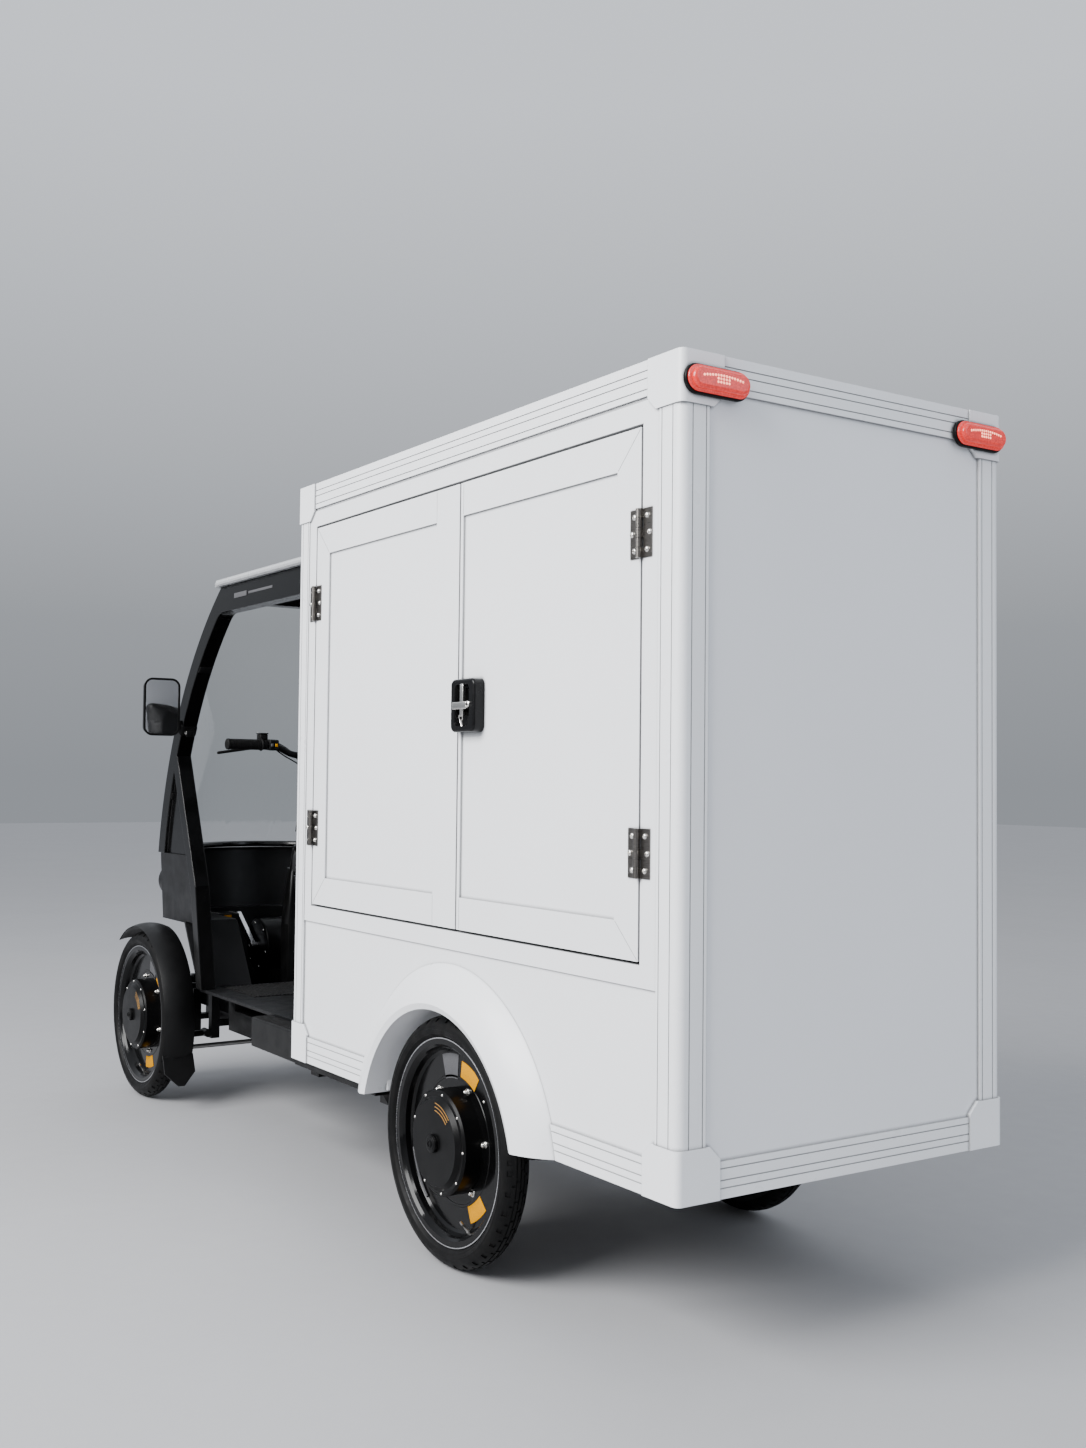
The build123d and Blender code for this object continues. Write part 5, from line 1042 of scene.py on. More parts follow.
def lathed(name: str, profile: Sequence[tuple[float, float]], steps: int = 20,
           closed: bool = False) -> Piece:
    """Turns a profile round the Z axis.

    Args:
        name: the piece's name.
        profile: radius and height of each point; ends on the axis close the piece.
        steps: faces round the axis.
        closed: whether the profile is a closed section, for a ring.

    Returns:
        The turned piece.
    """
    piece = Piece.line(name, [(radius, 0.0, height) for radius, height in profile], closed)
    return piece.spin((0, 0, 1), steps)


def prism(name: str, outline: Sequence[Place], step: Place) -> Piece:
    """Fills a closed outline and pulls it by a step.

    Args:
        name: the piece's name.
        outline: the outline's corners.
        step: how far and which way it is pulled.

    Returns:
        The solid piece, in edit mode.
    """
    piece = Piece.line(name, outline, closed=True)
    bpy.ops.mesh.edge_face_add()
    return piece.extrude(step).face_out()


def block(name: str, low: Place, high: Place, rounding: float, look: Look,
          turn: Matrix | None = None) -> Piece:
    """A moulded block between two corners, with rounded edges.

    Args:
        name: the piece's name.
        low: its lowest corner.
        high: its highest corner.
        rounding: radius of its edges.
        look: its finish.
        turn: a matrix that places it, if it doesn't stand where its corners say.

    Returns:
        The block.
    """
    middle = tuple((a + b) / 2 for a, b in zip(low, high))
    clear_selection()
    bpy.ops.mesh.primitive_cube_add(size=1.0, location=middle)
    piece = Piece(bpy.context.object, name)
    piece.edit_all()
    piece.resize(tuple(b - a for a, b in zip(low, high)), middle)
    piece.soften(rounding, 3)
    if turn is not None:
        piece = piece.moved(turn)
    return piece.smooth(40.0).wear(look)


def ribbed(name: str, low: Place, high: Place, pitch: float, look: Look) -> Piece:
    """A mat whose ribs run along X.

    Args:
        name: the piece's name.
        low: its lowest corner.
        high: its highest corner, at the top of the ribs.
        pitch: distance between ribs.
        look: its finish.

    Returns:
        The mat.
    """
    count = int((high[1] - low[1]) / pitch)
    pitch = (high[1] - low[1]) / count
    web = low[2] + 0.45 * (high[2] - low[2])
    outline = [(low[0], low[1], low[2]), (low[0], low[1], web)]
    for number in range(count):
        foot = low[1] + number * pitch
        outline += [(low[0], foot + 0.2 * pitch, web), (low[0], foot + 0.3 * pitch, high[2]),
                    (low[0], foot + 0.7 * pitch, high[2]), (low[0], foot + 0.8 * pitch, web)]
    outline += [(low[0], high[1], web), (low[0], high[1], low[2])]
    return prism(name, outline, (high[0] - low[0], 0, 0)).smooth(30.0).wear(look)


def both_sides(pattern: Piece, name: str, body: str = "chassis") -> None:
    """Fits a copy of a left-hand piece on each side, and drops the pattern.

    Args:
        pattern: the left-hand piece.
        name: the copies' name, before their side.
        body: the body that both ride on.
    """
    for side_name, side in SIDES:
        pattern.copy(f"{name}_{side_name}", mirrored(side)).fit(body)
    pattern.drop()


@dataclass(frozen=True)
class Fasteners:
    """Patterns of the screws and nuts, each standing on the origin along +Z."""

    look: Look = Look.NUT_STEEL
    washer: float = 0.12

    def hexagon(self, name: str, radius: float, height: float) -> Piece:
        """A plain hexagon that stands on its washer.

        Args:
            name: the piece's name.
            radius: the hexagon's radius.
            height: its height.

        Returns:
            The hexagon.
        """
        clear_selection()
        bpy.ops.mesh.primitive_cylinder_add(vertices=6, radius=radius, depth=height,
                                            location=(0, 0, height / 2 + self.washer * radius))
        return Piece(bpy.context.object, name)

    def dome_screw(self, radius: float) -> Piece:
        """A domed screw head with a hexagon socket.

        Args:
            radius: the head's radius.

        Returns:
            The pattern.
        """
        r = radius
        piece = lathed("dome_screw", [
            (0.0, 0.22 * r), (0.36 * r, 0.22 * r), (0.40 * r, 0.62 * r), (0.52 * r, 0.64 * r),
            (0.78 * r, 0.50 * r), (0.95 * r, 0.24 * r), (r, 0.0), (0.0, 0.0)], 18)
        return piece.smooth(50.0).wear(self.look)

    def dome_nut(self, radius: float) -> Piece:
        """A hexagon nut with a domed cap, on a washer.

        Args:
            radius: the hexagon's radius.

        Returns:
            The pattern.
        """
        r = radius
        nut = self.hexagon("nut_body", r, 0.75 * r).soften(0.08 * r, 2)
        dome = lathed("nut_dome", [
            (0.80 * r, 0.85 * r), (0.76 * r, 1.10 * r), (0.62 * r, 1.36 * r),
            (0.36 * r, 1.54 * r), (0.0, 1.60 * r), (0.0, 0.85 * r), (0.80 * r, 0.85 * r)], 16)
        washer = lathed("nut_washer", [
            (0.0, 0.14 * r), (1.28 * r, 0.14 * r), (1.34 * r, 0.08 * r), (1.34 * r, 0.0),
            (0.0, 0.0)], 18)
        return merged("dome_nut", [nut, dome, washer]).smooth(45.0).wear(self.look)

    def hex_bolt(self, radius: float) -> Piece:
        """A hexagon bolt head with its chamfered top, on a washer.

        Args:
            radius: the hexagon's radius.

        Returns:
            The pattern.
        """
        r = radius
        head = self.hexagon("bolt_head", r, 0.7 * r)
        head.pick(lambda middle, normal: normal.z > 0.9).inset(0.14 * r, 0.06 * r)
        washer = lathed("bolt_washer", [
            (0.0, 0.13 * r), (1.32 * r, 0.13 * r), (1.38 * r, 0.07 * r), (1.38 * r, 0.0),
            (0.0, 0.0)], 18)
        return merged("hex_bolt", [head, washer]).smooth(40.0).wear(self.look)


# ---------------------------------------------------------------- the vehicle

@dataclass
class Wheel:
    """One wheel's tyre and the fine pieces on its rim, disc and hub motor.

    Everything is shaped round the left rear wheel's axle with Y pointing outwards, then copied
    to the four corners. Angles run from the rearward side upwards, seen from outside.
    """

    radius: float = 0.286
    tread_steps: int = 300
    groove_depth: float = 0.0026
    disc_y: float = -0.004
    drum_y: float = 0.045
    cover_y: float = 0.055
    axles: dict[str, tuple[float, float, float]] = field(default_factory=lambda: {
        "rear_left": (-0.778, 0.435, 0.0), "rear_right": (-0.778, -0.435, 40.0),
        "front_left": (1.356, 0.435, -25.0), "front_right": (1.356, -0.435, 75.0)})
    strips: tuple[float, ...] = (0.0014, 0.0085, 0.0112, 0.0185, 0.0212, 0.0238)
    crown_drop: float = 0.009
    nut_circle: float = 0.1295
    nut_radius: float = 0.0068
    screw_circle: float = 0.113
    screw_radius: float = 0.0036
    film: float = 0.0012
    amber_radii: tuple[float, float] = (0.150, 0.188)
    amber_spans: tuple[tuple[float, float], ...] = ((57.0, 82.0), (-67.0, -43.0))
    arc_radii: tuple[float, ...] = (0.0745, 0.0830, 0.0915)
    arc_width: float = 0.0026

    def place(self, radius: float, degrees: float, out: float) -> Place:
        """A point on the wheel by its radius, angle and distance outwards."""
        angle = math.radians(degrees)
        return (-radius * math.cos(angle), out, radius * math.sin(angle))

    def crown(self, across: float) -> float:
        """Radius of the tread at a distance from the wheel's mid-plane."""
        return self.radius - self.crown_drop * (across / self.strips[-1]) ** 2

    def tyre(self) -> Piece:
        """Spins the tyre and cuts its tread: three grooves round it and slanted slots across.

        Returns:
            The tyre.
        """
        side = [(0.0285, 0.2722), (0.0322, 0.2672), (0.0343, 0.2618), (0.0349, 0.2570),
                (0.0352, 0.2566), (0.0352, 0.2554), (0.0346, 0.2550), (0.0338, 0.2510),
                (0.0318, 0.2462), (0.0322, 0.2456), (0.0316, 0.2446), (0.0304, 0.2436),
                (0.0262, 0.2392), (0.0208, 0.2370), (0.0207, 0.2200)]
        half = [(w, self.crown(w)) for w in self.strips] + side
        section = [(-w, r) for w, r in reversed(half)] + half
        piece = Piece.line("tyre", [(0.0, w, r) for w, r in section], closed=True)
        piece.spin((0, 1, 0), self.tread_steps)
        turn = 360.0 / self.tread_steps

        def cut(middle: Vector, normal: Vector) -> bool:
            reach = math.hypot(middle.x, middle.z)
            across = abs(middle.y)
            if reach < 0.268 or across > self.strips[-1] + 0.003:
                return False
            if across < self.strips[0] or self.strips[1] < across < self.strips[2]:
                return True
            step = int(math.degrees(math.atan2(middle.z, middle.x)) // turn)
            lean = 2 if across < self.strips[1] else 0 if across < self.strips[3] else 5
            if middle.y < 0:
                step += 4
            if across > self.strips[3]:
                return (step + lean) % 8 < 2
            return (step + lean) % 8 == 0

        return piece.pick(cut).sink(-self.groove_depth).smooth(32.0).wear(Look.TYRE)

    def sector(self, name: str, radii: tuple[float, float], span: tuple[float, float],
               foot: float, thickness: float, look: Look) -> Piece:
        """A thin plate between two radii and two angles, standing on the disc or the drum.

        Args:
            name: the plate's name.
            radii: inner and outer radius.
            span: first and last angle, in degrees.
            foot: where it stands, measured outwards.
            thickness: its thickness.
            look: its finish.

        Returns:
            The plate.
        """
        steps = max(int((span[1] - span[0]) / 3), 2)
        piece = Piece.line(name, [self.place(r, span[1], foot) for r in radii])
        bpy.ops.mesh.spin(steps=steps, angle=math.radians(span[1] - span[0]), center=(0, 0, 0),
                          axis=(0, 1, 0))
        bpy.ops.mesh.select_all(action="SELECT")
        piece.extrude((0, thickness, 0)).face_out()
        return piece.soften(thickness * 0.3, 2).smooth(40.0).wear(look)

    def band(self, name: str, section: Sequence[tuple[float, float]], look: Look) -> Piece:
        """A ring round the axle from a closed section of radius and distance outwards."""
        piece = Piece.line(name, [(0.0, out, radius) for radius, out in section], closed=True)
        return piece.spin((0, 1, 0), 96).smooth(30.0).wear(look)

    def fixings(self) -> Piece:
        """The dome nuts on the motor's flange, the cover's screws and the loose bright ones.

        Returns:
            All of them as one piece.
        """
        tools = Fasteners()
        nut, screw = tools.dome_nut(self.nut_radius), tools.dome_screw(self.screw_radius)
        nuts = [(self.place(self.nut_circle, 7.0 + 60.0 * k, self.disc_y), (0, 1, 0))
                for k in range(6)]
        screws = [(self.place(self.screw_circle, 40.0 * k, self.drum_y - 0.0006), (0, 1, 0))
                  for k in range(9)]
        screws.append((self.place(0.165, 42.0, self.disc_y), (0, 1, 0)))
        return merged("fixings", [scattered("nuts", nut, nuts),
                                  scattered("screws", screw, screws)])

    def pressings(self) -> Piece:
        """The step pressed in the disc round the motor's flange, and the lip of the rim's well.

        Returns:
            Both rings as one piece.
        """
        lip = self.band("rim_lip", [
            (0.2120, 0.0135), (0.2135, 0.0160), (0.2160, 0.0160), (0.2165, 0.0130)],
            Look.RIM_BLACK)
        step = self.band("disc_step", [
            (0.1425, self.disc_y - 0.0005), (0.1440, self.disc_y + 0.0012),
            (0.1490, self.disc_y + 0.0012), (0.1505, self.disc_y - 0.0005)], Look.RIM_BLACK)
        return merged("pressings", [step, lip])

    def hub_cap(self) -> Piece:
        """The axle's end: a stepped cap with a recess in its face.

        Returns:
            The cap.
        """
        cap = lathed("hub_cap", [
            (0.0, 0.0035), (0.0075, 0.0035), (0.0085, 0.0012), (0.0150, 0.0012),
            (0.0168, -0.0002), (0.0205, -0.0008), (0.0212, -0.0060), (0.0, -0.0060)], 28)
        cap.pick(lambda middle, normal: normal.z > 0.8 and middle.z > 0.002)
        cap.inset(0.0012).sink(-0.0015)
        outwards = cap.moved(Matrix.Translation((0, 0.064, 0)) @ rotation(-90, "X"))
        return outwards.smooth(35.0).wear(Look.MOTOR_BLACK)

    def valve(self) -> Piece:
        """The tyre's valve, leaning out of the rim's well.

        Returns:
            The valve.
        """
        stem = lathed("valve", [
            (0.0, 0.034), (0.0030, 0.034), (0.0034, 0.026), (0.0026, 0.025), (0.0028, 0.010),
            (0.0044, 0.006), (0.0046, 0.0), (0.0, 0.0)], 12)
        placed = stem.moved(rotation(-160.0, "Y") @ Matrix.Translation((0, -0.001, 0.2075))
                            @ upright(Vector((0, 0.55, -0.84))))
        return placed.smooth(40.0).wear(Look.STEEL)

    def build(self) -> None:
        """Makes every pattern once and fits a copy of each at the four corners."""
        patterns: list[tuple[str, Piece, str | None]] = [
            ("tread", self.tyre(), "tyre_rubber"),
            ("fixings", self.fixings(), None),
            ("pressings", self.pressings(), None),
            ("hub_cap", self.hub_cap(), None),
            ("valve", self.valve(), None),
            # Painted highlight: a thin bright ring stands for the highlight on the rim's flange
            # edge.
            ("rim_edge", self.band("rim_edge", [
                (0.2340, 0.0249), (0.2340, 0.0256), (0.2362, 0.0256), (0.2367, 0.0249)],
                Look.RIM_EDGE), None),
            ("reflectors", merged("reflectors", [
                self.sector(f"amber_{n}", self.amber_radii, span, self.disc_y, self.film,
                            Look.AMBER)
                for n, span in enumerate(self.amber_spans)]), None),
            ("grey_reflector", self.sector("grey", (0.141, 0.198), (87.0, 109.0), self.disc_y,
                                           self.film, Look.GREY_FILM), None),
            ("rim_segment", self.sector("segment", (0.1985, 0.2035), (196.0, 232.0),
                                        self.disc_y + 0.001, 0.004, Look.GREY_FILM), None),
            ("gold_arcs", merged("gold_arcs", [
                self.sector(f"arc_{n}", (r, r + self.arc_width), (44.0, 88.0),
                            self.cover_y - 0.0030, 0.0034, Look.GOLD_LINE)
                for n, r in enumerate(self.arc_radii)]), None),
        ]
        for corner, (x, y, turned) in self.axles.items():
            side = 1.0 if y > 0 else -1.0
            matrix = (Matrix.Translation((x, y, self.radius)) @ mirrored(side)
                      @ rotation(turned, "Y"))
            for name, pattern, slot in patterns:
                copy = pattern.copy(f"{name}_{corner}", matrix)
                copy.fit(f"wheel_{corner}", slot,
                         (f"tyre_{corner}",) if name == "tread" else ())
        for _, pattern, _ in patterns:
            pattern.drop()


@dataclass
class DoorHardware:
    """Screws on the hinges, and the handles and keys of the latches."""

    pins: dict[str, float] = field(default_factory=lambda: {"rear": -1.491, "front": -0.020})
    heights: tuple[float, float] = (0.983, 1.602)
    plate_y: float = 0.453
    screw_radius: float = 0.0062
    latch_x: float = -0.8555
    latch_z: float = 1.290

    def leaf_places(self, pin: float, way: float, side: float) -> list[tuple[Place, Place]]:
        """Places of the screws on one half of both hinges of a leaf.

        Args:
            pin: X of the hinges' pin.
            way: 1 for the half ahead of the pin, -1 for the one behind it.
            side: 1 on the left, -1 on the right.

        Returns:
            Place and direction of each screw.
        """
        places = []
        for height in self.heights:
            for out, up in ((0.0195, 0.033), (0.0270, 0.0), (0.0195, -0.033)):
                places.append(((pin + way * out, side * self.plate_y, height + up),
                               (0.0, side, 0.0)))
        return places

    def build(self) -> None:
        """Fits the screws to the box and to each leaf, then the latches' handles."""
        screw = Fasteners().dome_screw(self.screw_radius)
        fixed: list[tuple[Place, Place]] = []
        for leaf, pin in self.pins.items():
            inward = 1.0 if leaf == "rear" else -1.0
            for side_name, side in SIDES:
                fixed += self.leaf_places(pin, -inward, side)
                name = f"hinge_screws_{side_name}_{leaf}"
                scattered(name, screw, self.leaf_places(pin, inward, side), keep=True).fit(
                    f"{side_name}_{leaf}_door")
        scattered("hinge_screws_box", screw, fixed).fit("chassis")
        for side_name, side in SIDES:
            self.keys(side).fit(f"{side_name}_rear_door")

    def lever(self) -> Piece:
        """The left latch's T handle: a tall blade, a thick cross bar and its curled end.

        Returns:
            The handle.
        """
        x, z = self.latch_x, self.latch_z
        blade = block("blade", (x - 0.0085, 0.4700, z - 0.026), (x + 0.0050, 0.4780, z + 0.049),
                      0.0016, Look.NUT_STEEL)
        bar = block("bar", (x - 0.026, 0.4715, z - 0.009), (x + 0.035, 0.4810, z + 0.008), 0.002,
                    Look.NUT_STEEL)
        hook = Piece.tube("hook", [(x - 0.016, 0.4770, z - 0.002), (x - 0.028, 0.4770, z - 0.005),
                                   (x - 0.0365, 0.4770, z + 0.0005),
                                   (x - 0.033, 0.4770, z + 0.008),
                                   (x - 0.026, 0.4770, z + 0.006)], 0.0030, 10)
        boss = lathed("boss", [(0.0, 0.0055), (0.0055, 0.0050), (0.0072, 0.0030), (0.0075, 0.0),
                               (0.0, 0.0)], 20)
        bosses = scattered("bosses", boss, [((x - 0.0005, 0.4700, z - 0.0150), (0, 1, 0))])
        return merged("lever", [blade, bar, hook, bosses]).smooth(40.0).wear(Look.NUT_STEEL)

    def keys(self, side: float) -> Piece:
        """The handle of a latch, with the ring, key and pins that hang from it.

        Args:
            side: 1 on the left, -1 on the right.

        Returns:
            The handle and what hangs from it, as one piece.
        """
        x, z = self.latch_x, self.latch_z
        y = 0.4745
        parts = [self.lever()]
        ring = lathed("key_ring", [(0.0072 + 0.0011 * math.cos(a), 0.0011 * math.sin(a))
                                   for a in (0.0, 1.05, 2.09, 3.14, 4.19, 5.24)], 28, closed=True)
        parts.append(ring.moved(Matrix.Translation((x + 0.004, y, z - 0.028))
                                @ rotation(78, "X")))
        for number, (run, radius) in enumerate((
                (((x + 0.002, y, z - 0.034), (x + 0.0005, y - 0.001, z - 0.041),
                  (x - 0.001, y - 0.001, z - 0.048)), 0.0012),
                (((x + 0.008, y, z - 0.034), (x + 0.006, y, z - 0.040),
                  (x + 0.001, y - 0.001, z - 0.048)), 0.0010))):
            parts.append(Piece.tube(f"pin_{number}", run, radius, 8))
        bow = lathed("key_bow", [(0.0, 0.0012), (0.0052, 0.0012), (0.0060, 0.0), (0.0052, -0.0012),
                                 (0.0, -0.0012)], 16)
        parts.append(bow.moved(Matrix.Translation((x - 0.016, y - 0.004, z + 0.001))
                               @ rotation(90, "X")))
        piece = merged(f"latch_key_{'left' if side > 0 else 'right'}", parts)
        placed = piece.moved(mirrored(side))
        return placed.smooth(40.0).wear(Look.NUT_STEEL)


@dataclass
class RearLamps:
    """Skirts of the rear lenses, and the rows of light in them."""

    face_x: float = -1.642
    foot_x: float = -1.625
    y: float = 0.374
    z: float = 1.881
    dots: int = 15
    pitch: float = 0.0068

    def skirt(self) -> Piece:
        """The lens's wide foot: an oval plate with a stepped, rounded edge.

        Returns:
            The plate, level with the ground plane until it is placed.
        """
        half, radius = 0.0505, 0.0255
        outline = []
        for end, start in ((1, 90), (-1, 270)):
            for step in range(13):
                angle = math.radians(start - 15 * step)
                outline.append((self.foot_x, end * half + radius * math.cos(angle),
                                radius * math.sin(angle)))
        piece = prism("lens_skirt", outline, (-0.0065, 0, 0))
        return piece.soften(0.0022, 3).smooth(40.0).wear(Look.RED_LENS)

    def row(self) -> Piece:
        """The row of small lights, brighter and taller at its middle.

        Returns:
            The lights as one piece.
        """
        dot = lathed("light_dot", [(0.0, 0.0012), (0.0016, 0.0010), (0.0025, 0.0006),
                                   (0.0028, 0.0), (0.0, 0.0)], 12)
        dots = []
        for number in range(self.dots):
            place = number - (self.dots - 1) / 2
            lift = 0.0080 - 0.0050 * (2 * place / self.dots) ** 2
            centre = abs(place) < 2.5
            for z in ((lift, 0.0015, -0.0050) if centre else (lift,)):
                dots.append(((self.face_x + 0.0004, place * self.pitch, z), (-1.0, 0.0, 0.0)))
        return scattered("light_row", dot, dots).smooth(50.0).wear(Look.LED)

    def build(self) -> None:
        """Makes a skirt and a row, and copies both to each lamp."""
        for name, pattern in (("lens_skirt", self.skirt()), ("light_row", self.row())):
            for side_name, side in SIDES:
                pattern.copy(f"{name}_{side_name}", Matrix.Translation(
                    (0, side * self.y, self.z))).fit("chassis")
            pattern.drop()


@dataclass
class Seat:
    """The padded cushion and back, swollen by a cloth simulation from smaller blocks."""

    merge_gap: float = 1e-5
    shrink: float = 0.012
    voxel: float = 0.006
    pressure: float = 4.0
    cap: float = 0.022
    frames: int = 20
    slack: float = 0.006
    seam_depth: float = 0.010
    seam_width: float = 0.006
    flank: float = 0.03
    flank_share: float = 0.35

    def blank(self, node: str, name: str) -> Piece:
        """Copies a node's solid, shrinks it and gives it an even mesh.

        Args:
            node: the plain solid that the pad stands for.
            name: the pad's name.

        Returns:
            The blank that is to swell.
        """
        pad = Piece.of_node(node, name, self.merge_gap)
        low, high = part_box(node)
        pad.resize(tuple(1 - 2 * self.shrink / s for s in high - low), tuple((low + high) / 2))
        return pad.modify("REMESH", mode="VOXEL", voxel_size=self.voxel)

    def swell(self, pad: Piece) -> None:
        """Blows the blank up as cloth under pressure, and keeps every point near its start.

        Args:
            pad: the blank, which is the active object.
        """
        obj = pad.obj
        rest = [vert.co.copy() for vert in obj.data.vertices]
        bpy.ops.object.modifier_add(type="CLOTH")
        cloth = obj.modifiers[-1]
        cloth.settings.use_pressure = True
        cloth.settings.uniform_pressure_force = self.pressure
        cloth.settings.effector_weights.gravity = 0.0
        cloth.point_cache.frame_start, cloth.point_cache.frame_end = 1, self.frames
        for number in range(1, self.frames + 1):
            bpy.context.scene.frame_set(number)
        bpy.ops.object.modifier_apply(modifier=cloth.name)
        bpy.context.scene.frame_set(1)
        for vert, start in zip(obj.data.vertices, rest):
            move = vert.co - start
            if move.length > self.cap:
                vert.co = start + move.normalized() * self.cap

    def sew(self, pad: Piece, node: str, channels: Sequence[float], axis: int) -> None:
        """Keeps the pad round its node's box, and draws the sewn channels in.

        Args:
            pad: the swollen pad.
            node: the plain solid that the pad stands for.
            channels: places of the sewn channels along the axis.
            axis: 0 for X, 2 for Z.
        """
        low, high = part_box(node)
        middle = (low + high) / 2
        flank = (high - low).y / 2 - self.flank
        limit_low = low - Vector((self.slack,) * 3)
        limit_high = high + Vector((self.slack,) * 3)
        limit_low.z = low.z
        for vert in pad.obj.data.vertices:
            for k in range(3):
                vert.co[k] = min(max(vert.co[k], limit_low[k]), limit_high[k])
            dip = 0.0
            for channel in channels:
                gap = abs(vert.co[axis] - channel)
                dip = max(dip, self.seam_depth * math.exp(-(gap / self.seam_width) ** 2))
            if dip:
                inward = middle - vert.co
                inward[axis] = 0.0
                share = 1.0 if abs(vert.co.y) < flank else self.flank_share
                vert.co += inward.normalized() * dip * share

    def padded(self, node: str, shares: Sequence[float], axis: int) -> None:
        """Makes one pad and fits it in place of its node.

        Args:
            node: the plain solid that the pad stands for.
            shares: places of the sewn channels along the axis, as shares of the length.
            axis: 0 for X, 2 for Z.
        """
        pad = self.blank(node, f"{node}_pad")
        self.swell(pad)
        low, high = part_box(node)
        span = high[axis] - low[axis]
        self.sew(pad, node, [low[axis] + span * share for share in shares], axis)
        pad.modify("SUBSURF").smooth(80.0).wear(Look.COVER)
        pad.fit("chassis", "seat_fabric", (node,))

    def build(self) -> None:
        """Fits the cushion and the back in place of their plain solids."""
        self.padded("seat_cushion", (0.30, 0.62), 0)
        self.padded("seat_back", (0.28, 0.52, 0.76), 2)


@dataclass
class LoadBox:
    """Small pieces on the load box."""

    arch_x: float = -0.452
    seal_heights: tuple[float, float] = (0.7722, 1.8138)
    seal_y: float = 0.4335
    leaf_ends: tuple[float, float] = (-1.488, -0.023)

    def arch_stay(self) -> Piece:
        """The folded stay that ties the front end of the left arch's liner to the box's floor.

        Returns:
            The stay.
        """
        x = self.arch_x
        post = block("stay_post", (x - 0.004, 0.398, 0.342), (x + 0.014, 0.440, 0.415), 0.003,
                     Look.WHITE_MOULDING)
        lip = block("stay_lip", (x - 0.016, 0.402, 0.406), (x + 0.016, 0.446, 0.413), 0.002,
                    Look.WHITE_MOULDING)
        return merged("arch_stay", [post, lip])

    def seal_and_gap_shade(self, name: str, x_low: float, x_high: float) -> Piece:
        """The dark rubber seal behind the gap round the two left leaves; its black is also painted
        shade inside the gap.

        Args:
            name: the seal's name.
            x_low: the rear leaf's rear edge.
            x_high: the front leaf's front edge.

        Returns:
            The seal, four strips in a frame.
        """
        (low, high), out = self.seal_heights, self.seal_y
        strips = [block(f"{name}_{number}", (a, out - 0.008, b), (c, out, d), 0.0012,
                        Look.SEAL_AND_GAP_SHADE)
                  for number, (a, b, c, d) in enumerate((
                      (x_low - 0.0055, low - 0.0035, x_high + 0.0055, low),
                      (x_low - 0.0055, high, x_high + 0.0055, high + 0.0035),
                      (x_low - 0.0055, low, x_low - 0.0022, high),
                      (x_high + 0.0022, low, x_high + 0.0055, high)))]
        return merged(name, strips)

    def build(self) -> None:
        """Fits the stays and the seals, whose black is also painted shade in the door gaps, on
        both sides.
        """
        both_sides(self.arch_stay(), "arch_stay")
        both_sides(self.seal_and_gap_shade("seal", *self.leaf_ends), "seal_and_gap_shade")


